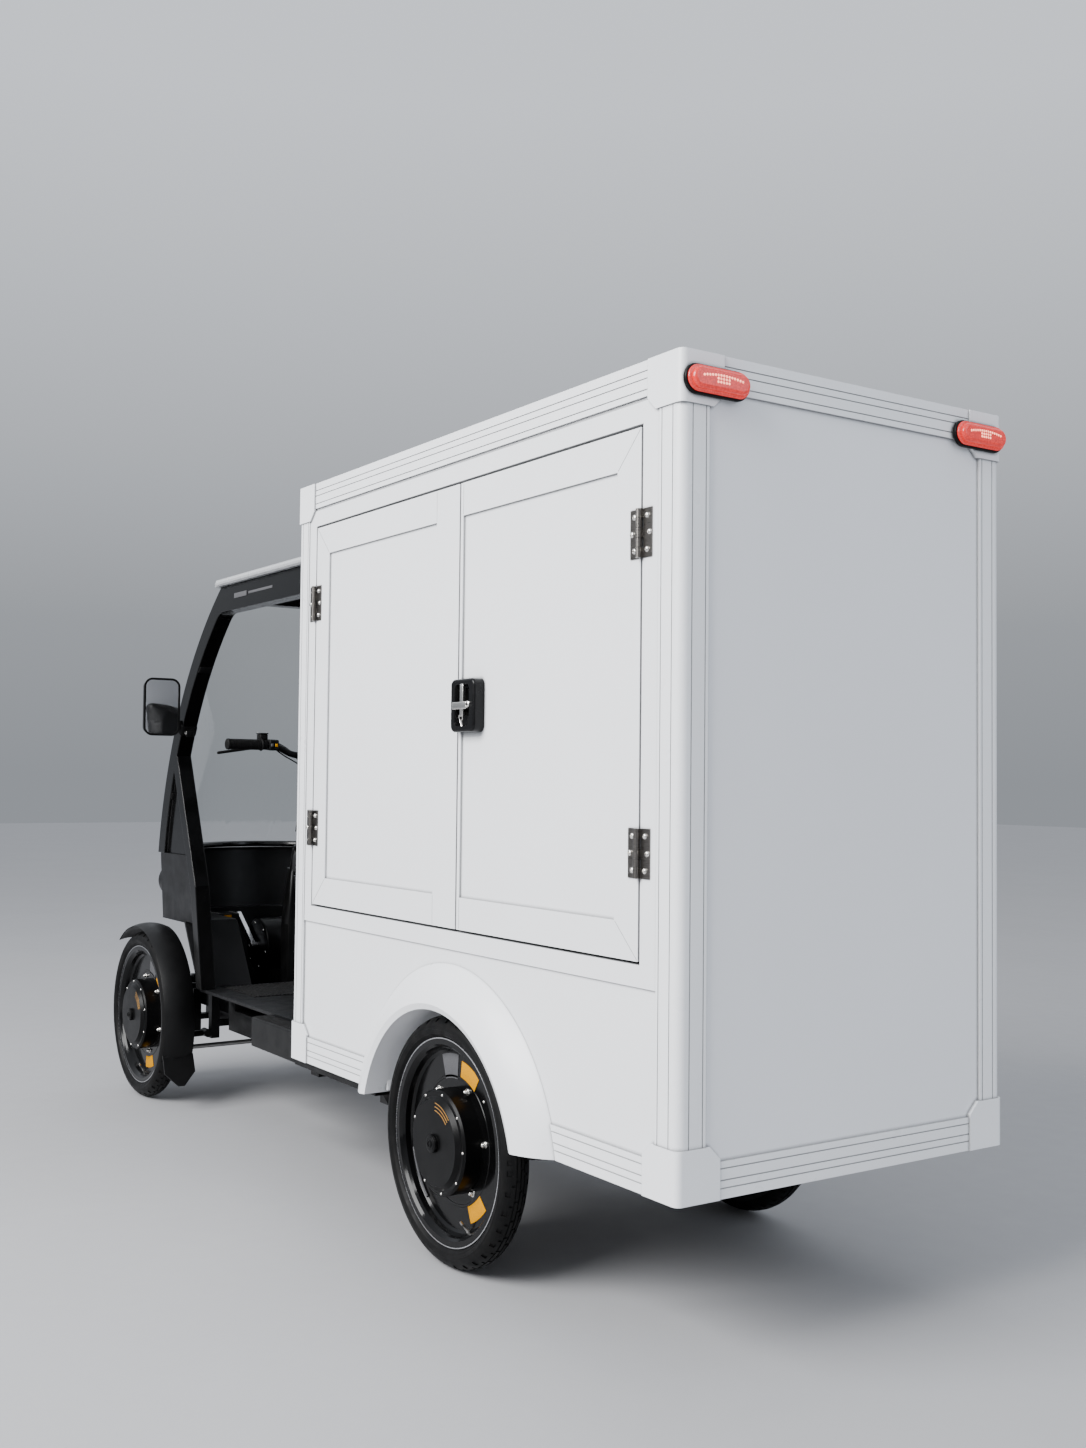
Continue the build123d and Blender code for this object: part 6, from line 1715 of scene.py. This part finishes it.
@dataclass
class Cab:
    """Trim, lamps and clamps on the cab's frame, roof, screen and floor."""

    top: tuple[float, float] = (0.819, 1.735)
    foot: tuple[float, float] = (1.369, 0.850)
    sagitta: float = 0.105
    screen_half: float = 0.345
    lamp_x: float = 1.569
    lamp_y: float = 0.262
    lamp_z: float = 0.735
    mirror_z: float = 1.290
    deck_z: float = 0.415

    def front_x(self, height: float, inset: float) -> float:
        """X of the pillar's curve at a height, set back along its radius.

        Args:
            height: the height.
            inset: the set-back.

        Returns:
            The X.
        """
        top, foot = Vector(self.top), Vector(self.foot)
        chord = foot - top
        radius = ((chord.length / 2) ** 2 + self.sagitta ** 2) / (2 * self.sagitta)
        way = chord.normalized()
        centre = (top + foot) / 2 + Vector((-way.y, way.x)) * (self.sagitta - radius)
        return centre.x + math.sqrt((radius - inset) ** 2 - (height - centre.y) ** 2)

    def screen_frame(self) -> Piece:
        """The black moulding round the windscreen, in one piece with rounded lower corners.

        Returns:
            The moulding.
        """
        half = self.screen_half
        side = [(self.front_x(z, 0.022), half, z) for z in
                (1.735, 1.62, 1.48, 1.34, 1.20, 1.06, 0.94, 0.89)]
        corner = [(self.front_x(0.862, 0.022) + 0.262 * (1 - (y / half) ** 2) - 0.012, y, 0.863)
                  for y in (0.315, 0.25, 0.17, 0.085)]
        left = side + corner
        middle = [(self.front_x(0.862, 0.022) + 0.249, 0.0, 0.863)]
        right = [(x, -y, z) for x, y, z in reversed(left)]
        frame_line = Piece.tube("screen_frame", left + middle + right, 0.0110, 12)
        return frame_line.smooth().wear(Look.CAB_BLACK)

    def roof_edge(self) -> Piece:
        """The rounded silver edging of the cab's roof, along both sides and round its front.

        Returns:
            The edging.
        """
        left = [(x, 0.4165, 1.7465) for x in (0.104, 0.35, 0.60, 0.76)]
        front = [(0.802, 0.4165, 1.7445), (0.829, 0.4060, 1.7445)]
        bow = [(0.823 + 0.050 * (1 - (y / 0.42) ** 2), y, 1.7455) for y in (0.34, 0.24, 0.12)]
        half = left + front + bow
        places = half + [(0.873, 0.0, 1.7455)] + [(x, -y, z) for x, y, z in reversed(half)]
        return Piece.tube("roof_edge", places, 0.0105, 16).smooth().wear(Look.ROOF_SILVER)

    def rail_strip(self) -> Piece:
        """The small light strip on the left roof rail.

        Returns:
            The strip.
        """
        lens = block("strip_lens", (0.60, 0.3995, 1.690), (0.70, 0.4025, 1.706), 0.0012,
                     Look.GREY_FILM)
        tail = block("strip_tail", (0.40, 0.3995, 1.694), (0.585, 0.4015, 1.702), 0.0008,
                     Look.GREY_FILM)
        return merged("rail_strip", [lens, tail])

    def pillar_turn(self, height: float) -> Matrix:
        """A matrix that leans a block like the pillar at a height, and puts it there.

        Args:
            height: the height.

        Returns:
            The matrix.
        """
        above, below = self.front_x(height + 0.02, 0.03), self.front_x(height - 0.02, 0.03)
        lean = math.atan2(above - below, 0.04)
        return (Matrix.Translation((self.front_x(height, 0.03), 0.375, height))
                @ rotation(math.degrees(lean), "Y"))

    def clamps(self) -> Piece:
        """The band that holds the left mirror, its bolts and boss, and two cable clips.

        Returns:
            All of them as one piece.
        """
        turn = self.pillar_turn(self.mirror_z)
        band = block("band", (-0.0335, -0.0285, -0.019), (0.0335, 0.0285, 0.019), 0.005,
                     Look.TRIM_PLASTIC, turn)
        ear = block("ear", (-0.052, -0.013, -0.013), (-0.030, 0.013, 0.013), 0.003,
                    Look.TRIM_PLASTIC, turn)
        bolt = Fasteners().hex_bolt(0.0055)
        spot = turn @ Vector((-0.041, 0.0135, 0.0))
        bolts = scattered("band_bolt", bolt, [(tuple(spot), (0, 1, 0))])
        x = self.front_x(self.mirror_z, 0.03)
        arm = Piece.tube("mirror_stay", [(x, 0.400, 1.288), (x + 0.003, 0.424, 1.292),
                                         (1.124, 0.440, 1.300), (1.127, 0.452, 1.312)],
                         0.0125, 14).smooth().wear(Look.TRIM_PLASTIC)
        parts = [band, ear, bolts, arm]
        for height in (1.50, 1.06):
            parts.append(block(f"clip_{height}", (-0.036, -0.020, -0.012),
                               (-0.026, 0.022, 0.012), 0.002, Look.TRIM_PLASTIC,
                               self.pillar_turn(height)))
        return merged("pillar_clamps", parts)

    def lamp(self, name: str, profile: Sequence[tuple[float, float]], look: Look,
             steps: int = 40) -> Piece:
        """Turns a piece of the left headlamp round the lamp's axis.

        Args:
            name: the piece's name.
            profile: radius and distance forward of each point.
            look: its finish.
            steps: faces round the axis.

        Returns:
            The piece.
        """
        place = Matrix.Translation((self.lamp_x, self.lamp_y, self.lamp_z))
        piece = lathed(name, profile, steps).moved(place @ rotation(90, "Y"))
        return piece.smooth(40.0).wear(look)

    def headlamps(self) -> None:
        """Fits each headlamp: bowl, projector, side ring and its domed clear lens."""
        bowl = self.lamp("bowl", [
            (0.0, 0.0016), (0.014, 0.0016), (0.020, 0.0022), (0.036, 0.0052), (0.049, 0.0100),
            (0.0530, 0.0104), (0.0535, 0.0010), (0.0, 0.0006)], Look.REFLECTOR)
        ring = self.lamp("ring", [
            (0.0400, 0.0078), (0.0430, 0.0098), (0.0460, 0.0098), (0.0470, 0.0080),
            (0.0400, 0.0078)], Look.GREY_FILM)
        projector = self.lamp("projector", [
            (0.0, 0.0128), (0.007, 0.0120), (0.0125, 0.0094), (0.0150, 0.0055),
            (0.0165, 0.0050), (0.0175, 0.0020), (0.0, 0.0014)], Look.DISPLAY, 28)
        bezel = self.lamp("bezel", [
            (0.0540, 0.0100), (0.0545, 0.0122), (0.0575, 0.0128), (0.0600, 0.0112),
            (0.0605, 0.0098), (0.0540, 0.0098), (0.0540, 0.0100)], Look.STEEL, 48)
        both_sides(merged("bowls", [bowl, ring, projector, bezel]), "headlamp_bowl")
        lens = self.lamp("lens", [
            (0.0, 0.0190), (0.018, 0.0184), (0.034, 0.0164), (0.045, 0.0134), (0.0520, 0.0098),
            (0.0544, 0.0060), (0.0544, 0.0035), (0.0525, 0.0035), (0.0525, 0.0058),
            (0.0502, 0.0086), (0.0440, 0.0116), (0.033, 0.0145), (0.018, 0.0164),
            (0.0, 0.0170)], Look.HEADLAMP, 56)
        twin = lens.copy("lens_right", mirrored(-1.0))
        merged("headlamp_lens", [lens, twin]).fit("chassis", None, ("headlamp_lenses",))

    def mats(self) -> None:
        """Fits ribbed rubber on the cab floor and on both steps."""
        z = self.deck_z
        ribbed("floor_mat", (0.700, -0.310, z), (0.955, 0.310, z + 0.0035), 0.014,
               Look.MAT).fit("chassis")
        both_sides(ribbed("step_mat", (0.118, 0.336, 0.405), (0.396, 0.434, 0.4085), 0.008,
                          Look.MAT), "step_mat")

    def build(self) -> None:
        """Fits every trim piece."""
        self.screen_frame().fit("chassis")
        self.roof_edge().fit("chassis")
        both_sides(self.rail_strip(), "rail_strip")
        both_sides(self.clamps(), "pillar_clamps")
        self.headlamps()
        self.mats()


@dataclass
class Cockpit:
    """Grips, switches, cables and display on the bar, and the small pieces of the pedals."""

    bar_x: float = 0.913
    bar_y: float = 0.330
    bar_z: float = 1.229
    sweep: float = 0.06
    crank_x: float = 1.288
    crank_z: float = 0.512
    pedals: dict[str, Place] = field(default_factory=lambda: {
        "left": (1.4223, 0.130, 0.6078), "right": (1.1537, -0.130, 0.4162)})

    def bar_turn(self, y: float) -> Matrix:
        """A matrix from the Z axis to the left bar's line, at a distance from the middle.

        Args:
            y: the distance.

        Returns:
            The matrix.
        """
        x = self.bar_x + self.sweep * (self.bar_y - y)
        return (Matrix.Translation((x, y, self.bar_z))
                @ upright(Vector((-self.sweep, 1.0, 0.0))))

    def grip(self) -> Piece:
        """The left grip: a sleeve with a flange, rows of ribs and a rounded end.

        Returns:
            The grip.
        """
        profile = [(0.0166, 0.0), (0.0205, 0.0), (0.0212, 0.0015), (0.0205, 0.0035),
                   (0.0175, 0.0050)]
        for number in range(13):
            foot = 0.0065 + number * 0.0082
            profile += [(0.0172, foot), (0.0181, foot + 0.0014), (0.0181, foot + 0.0050),
                        (0.0172, foot + 0.0064)]
        profile += [(0.0178, 0.1165), (0.0190, 0.1200), (0.0180, 0.1255), (0.0120, 0.1280),
                    (0.0, 0.1285), (0.0, 0.1240), (0.0166, 0.1238)]
        sleeve = lathed("sleeve", profile, 28, closed=True)
        return sleeve.moved(self.bar_turn(0.2065)).smooth(40.0).wear(Look.GRIP)

    def switches(self) -> Piece:
        """The switch block with its buttons, and the brake's small reservoir.

        Returns:
            Both as one piece.
        """
        turn = self.bar_turn(0.168)
        body = block("switch_body", (-0.0195, -0.0185, -0.0190), (0.0195, 0.0185, 0.0165), 0.006,
                     Look.TRIM_PLASTIC, turn)
        parts = [body]
        for number, (along, look) in enumerate(((-0.008, Look.AMBER), (0.008, Look.GREY_FILM))):
            parts.append(block(f"button_{number}", (-0.0225, -0.005, along - 0.0045),
                               (-0.0185, 0.005, along + 0.0045), 0.0015, look, turn))
        x = self.bar_x + self.sweep * 0.132
        tank = block("tank", (x - 0.004, 0.184, self.bar_z + 0.016),
                     (x + 0.030, 0.212, self.bar_z + 0.036), 0.004, Look.TRIM_PLASTIC)
        lid = block("lid", (x - 0.005, 0.183, self.bar_z + 0.036),
                    (x + 0.031, 0.213, self.bar_z + 0.040), 0.0012, Look.FRAME_BLACK)
        screw = Fasteners().dome_screw(0.0022)
        heads = scattered("lid_screws", screw, [
            ((x + 0.001, 0.188, self.bar_z + 0.0398), (0, 0, 1)),
            ((x + 0.025, 0.208, self.bar_z + 0.0398), (0, 0, 1))])
        return merged("switches", parts + [tank, lid, heads])

    def cables(self) -> Piece:
        """The brake line and the switch lead, looped to the column and clipped along it.

        Returns:
            Both sides as one piece.
        """
        brake = [(0.955, 0.193, 1.236), (0.985, 0.165, 1.246), (0.998, 0.110, 1.238),
                 (0.985, 0.055, 1.200), (0.972, 0.026, 1.150), (0.985, 0.022, 1.095),
                 (1.010, 0.021, 1.015), (1.038, 0.021, 0.930)]
        lead = [(0.930, 0.150, 1.214), (0.942, 0.120, 1.196), (0.950, 0.075, 1.176),
                (0.958, 0.040, 1.158), (0.974, 0.020, 1.120), (0.990, 0.014, 1.070),
                (1.012, 0.013, 1.000), (1.034, 0.013, 0.930)]
        runs = [Piece.tube("brake_line", brake, 0.0030, 8), Piece.tube("lead", lead, 0.0022, 8)]
        both = [merged("left_lines", runs).wear(Look.GRIP)]
        both.append(both[0].copy("right_lines", mirrored(-1.0)))
        turn = upright(Vector((0.140, 0.0, -0.435)).normalized())
        for height in (1.100, 1.010, 0.940):
            x = 0.943 + 0.140 * (1.195 - height) / 0.435
            tie = lathed(f"tie_{height}", [(0.0160, -0.002), (0.0176, -0.002), (0.0176, 0.002),
                                           (0.0160, 0.002)], 24, closed=True)
            both.append(tie.moved(Matrix.Translation((x, 0, height)) @ turn
                                  @ Matrix.Diagonal((1.25, 1.55, 1.0, 1.0))).wear(Look.GRIP))
        return merged("bar_lines", both).smooth()

    def display(self) -> Piece:
        """The display's glass with its raised surround.

        Returns:
            The display.
        """
        low, high = (0.914, -0.046, 1.2350), (0.972, 0.046, 1.2376)
        rim = block("display_rim", low, high, 0.0020, Look.TRIM_PLASTIC)
        rim.pick(lambda middle, normal: normal.z > 0.9)
        rim.inset(0.007).sink(-0.0012)
        rim.smooth(30.0)
        glass = block("display_glass", (0.922, -0.037, 1.2358), (0.964, 0.037, 1.2368), 0.0004,
                      Look.DISPLAY)
        return merged("display", [rim, glass])

    def pedal_pins(self, name: str, place: Place) -> Piece:
        """The grip pins and the reflectors of a pedal that lies flat at a place.

        Args:
            name: the piece's name.
            place: the middle of the pedal.

        Returns:
            The pins and reflectors as one piece.
        """
        x, y, z = place
        pin = lathed("pin", [(0.0, 0.0028), (0.0013, 0.0028), (0.0016, 0.0022), (0.0018, 0.0),
                             (0.0, 0.0)], 8)
        spots = [((x + dx, y + dy, z + way * 0.0109), (0.0, 0.0, way))
                 for way in (1.0, -1.0) for dx in (-0.033, -0.011, 0.011, 0.033)
                 for dy in (-0.036, 0.036)]
        parts = [scattered("pins", pin, spots).wear(Look.NUT_STEEL)]
        for way in (1.0, -1.0):
            ends = sorted((x + way * 0.0398, x + way * 0.0418))
            parts.append(block(f"pedal_reflector_{way}", (ends[0], y - 0.014, z - 0.0055),
                               (ends[1], y + 0.014, z + 0.0055), 0.0006, Look.AMBER))
        return merged(name, parts)

    def drive_screws(self) -> Piece:
        """Screws round both covers of the pedal drive.

        Returns:
            The screws as one piece.
        """
        screw = Fasteners().dome_screw(0.0042)
        spots = []
        for side in (1.0, -1.0):
            for number in range(6):
                angle = math.radians(60 * number + 15)
                spots.append(((self.crank_x + 0.080 * math.cos(angle), side * 0.0548,
                               self.crank_z + 0.080 * math.sin(angle)), (0.0, side, 0.0)))
        return scattered("drive_screws", screw, spots)

    def crank_bolts(self) -> Piece:
        """The bolt caps on the spindle's ends.

        Returns:
            Both caps as one piece.
        """
        cap = lathed("cap", [(0.0, 0.0022), (0.0045, 0.0022), (0.0050, 0.0034), (0.0085, 0.0030),
                             (0.0108, 0.0012), (0.0110, 0.0), (0.0, 0.0)], 24)
        piece = scattered("crank_caps", cap, [
            ((self.crank_x, side * 0.0788, self.crank_z), (0.0, side, 0.0))
            for side in (1.0, -1.0)])
        return piece.smooth(35.0).wear(Look.STEEL)

    def build(self) -> None:
        """Fits the bar's pieces and the pedals' pieces."""
        both_sides(self.grip(), "grip", "handlebar")
        both_sides(self.switches(), "switches", "handlebar")
        self.cables().fit("handlebar")
        self.display().fit("handlebar")
        for side_name, place in self.pedals.items():
            self.pedal_pins(f"pedal_pins_{side_name}", place).fit(f"pedal_{side_name}")
        self.drive_screws().fit("chassis")
        self.crank_bolts().fit("crankset")


@dataclass
class RunningGear:
    """The dressed frame and the coil springs."""

    spring_low: Place = (-0.842, 0.300, 0.2600)
    spring_high: Place = (-1.020, 0.300, 0.3000)
    coil_radius: float = 0.021
    wire: float = 0.0034
    turns: int = 7
    per_turn: int = 12
    tail_x: float = -1.48
    tail_shift: float = 0.19

    def spring(self) -> Piece:
        """The left strut's coil spring, with its seats.

        Returns:
            The spring.
        """
        low, high = Vector(self.spring_low), Vector(self.spring_high)
        way = high - low
        turn = upright(way).to_3x3()
        places = []
        for number in range(self.turns * self.per_turn + 1):
            angle = 2 * math.pi * number / self.per_turn
            rise = way.length * number / (self.turns * self.per_turn)
            point = Vector((self.coil_radius * math.cos(angle),
                            self.coil_radius * math.sin(angle), rise))
            places.append(tuple(low + turn @ point))
        coil = Piece.tube("coil", places, self.wire, 8).smooth().wear(Look.CAB_BLACK)
        seat = lathed("spring_seat", [(0.0, -0.006), (0.0255, -0.006), (0.0265, -0.003),
                                      (0.0255, 0.0), (0.0, 0.0)], 28).wear(Look.ZINC)
        ends = scattered("seats", seat, [(tuple(low), tuple(way)),
                                         (tuple(high), tuple(-way))]).smooth(40.0)
        return merged("spring", [coil, ends])

    def underframe(self) -> Piece:
        """The frame's tubes with their rear ends drawn in under the box.

        The photo shows no tube below the box's rear edge.

        Returns:
            The dressed frame.
        """
        piece = Piece.of_node("chassis_frame", "underframe", MERGE_GAP)
        piece.pick_points(lambda co: co.x < self.tail_x)
        bpy.ops.transform.translate(value=(self.tail_shift, 0, 0))
        return piece.smooth(30.0).wear(Look.FRAME_BLACK)

    def build(self) -> None:
        """Fits the frame and the springs."""
        self.underframe().fit("chassis", "frame_black", ("chassis_frame",))
        both_sides(self.spring(), "spring")


@dataclass
class Studio:
    """Camera, lights and floor."""

    camera_place: Place = (-3.742, 2.1865, 1.1265)
    camera_turn: Place = (92.09715, -0.57505, -123.86344)
    lens: float = 36.56
    sky_strength: float = 1.0
    sky: tuple[tuple[float, Colour], ...] = (
        (0.0, (0.30, 0.32, 0.35)), (1.0, (1.05, 1.10, 1.18)), (0.10, (0.36, 0.38, 0.41)),
        (0.42, (0.85, 0.89, 0.96)))

    def lamp(self, name: str, place: Place, aim: Place, size: tuple[float, float],
             power: float, tint: Colour = (1.0, 1.0, 1.0)) -> None:
        """Hangs one soft rectangular light.

        Args:
            name: its name.
            place: where it hangs.
            aim: the point that it faces.
            size: its width and height.
            power: its power in watts.
            tint: its colour.
        """
        data = bpy.data.lights.new(name, "AREA")
        data.shape = "RECTANGLE"
        data.size, data.size_y = size
        data.energy = power
        data.color = tint
        obj = add_object(name, data)
        obj.location = place
        obj.rotation_euler = (Vector(aim) - Vector(place)).to_track_quat("-Z", "Y").to_euler()

    def build(self) -> None:
        """Sets the camera at the photograph's angle, the floor, the sky and the lights."""
        data = bpy.data.cameras.new("camera")
        data.lens, data.sensor_width, data.sensor_fit = self.lens, 36.0, "AUTO"
        data.clip_end = 200.0
        camera = add_object("camera", data)
        camera.location = self.camera_place
        camera.rotation_euler = [math.radians(angle) for angle in self.camera_turn]
        bpy.context.scene.camera = camera
        clear_selection()
        bpy.ops.mesh.primitive_plane_add(size=60.0, location=(0, 0, 0))
        floor = Piece(bpy.context.object, "studio_floor").wear(Look.STUDIO_FLOOR)
        world = bpy.data.worlds.new("studio_sky")
        world.use_nodes = True
        nodes, links = world.node_tree.nodes, world.node_tree.links
        place = nodes.new("ShaderNodeTexCoord")
        split = nodes.new("ShaderNodeSeparateXYZ")
        ramp = nodes.new("ShaderNodeValToRGB")
        for stop, (height, grey) in zip(ramp.color_ramp.elements, self.sky[:2]):
            stop.position, stop.color = height, (*grey, 1.0)
        for height, grey in self.sky[2:]:
            ramp.color_ramp.elements.new(height).color = (*grey, 1.0)
        links.new(place.outputs["Generated"], split.inputs["Vector"])
        links.new(split.outputs["Z"], ramp.inputs["Fac"])
        links.new(ramp.outputs["Color"], nodes["Background"].inputs["Color"])
        nodes["Background"].inputs["Strength"].default_value = self.sky_strength
        bpy.context.scene.world = world
        self.lamp("key", (-1.0, 6.5, 5.2), (0.0, 0.3, 0.8), (6.0, 4.0), 1480.0, (1.0, 1.0, 1.0))
        self.lamp("rear_fill", (-7.0, -2.0, 4.0), (-1.0, 0.0, 0.9), (5.0, 4.0), 120.0,
                  (0.80, 0.89, 1.0))


def dress_nodes() -> None:
    """Gives every node of the frame its look."""
    for name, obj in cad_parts.items():
        material = NODE_LOOKS[name].material()
        if not obj.data.materials:
            obj.data.materials.append(material)
        for slot in obj.material_slots:
            slot.material = material
        log.info("%s wears %s", name, material.name)


def main() -> None:
    """Builds the studio and every sub-assembly in order."""
    logging.basicConfig(level=logging.INFO, format="%(message)s")
    dress_nodes()
    for part in (Studio(), LoadBox(), Wheel(), DoorHardware(), RearLamps(), Cab(), Cockpit(),
                 RunningGear(), Seat()):
        log.info("building %s", type(part).__name__)
        part.build()
    clear_selection()


if __name__ == "__main__":
    main()
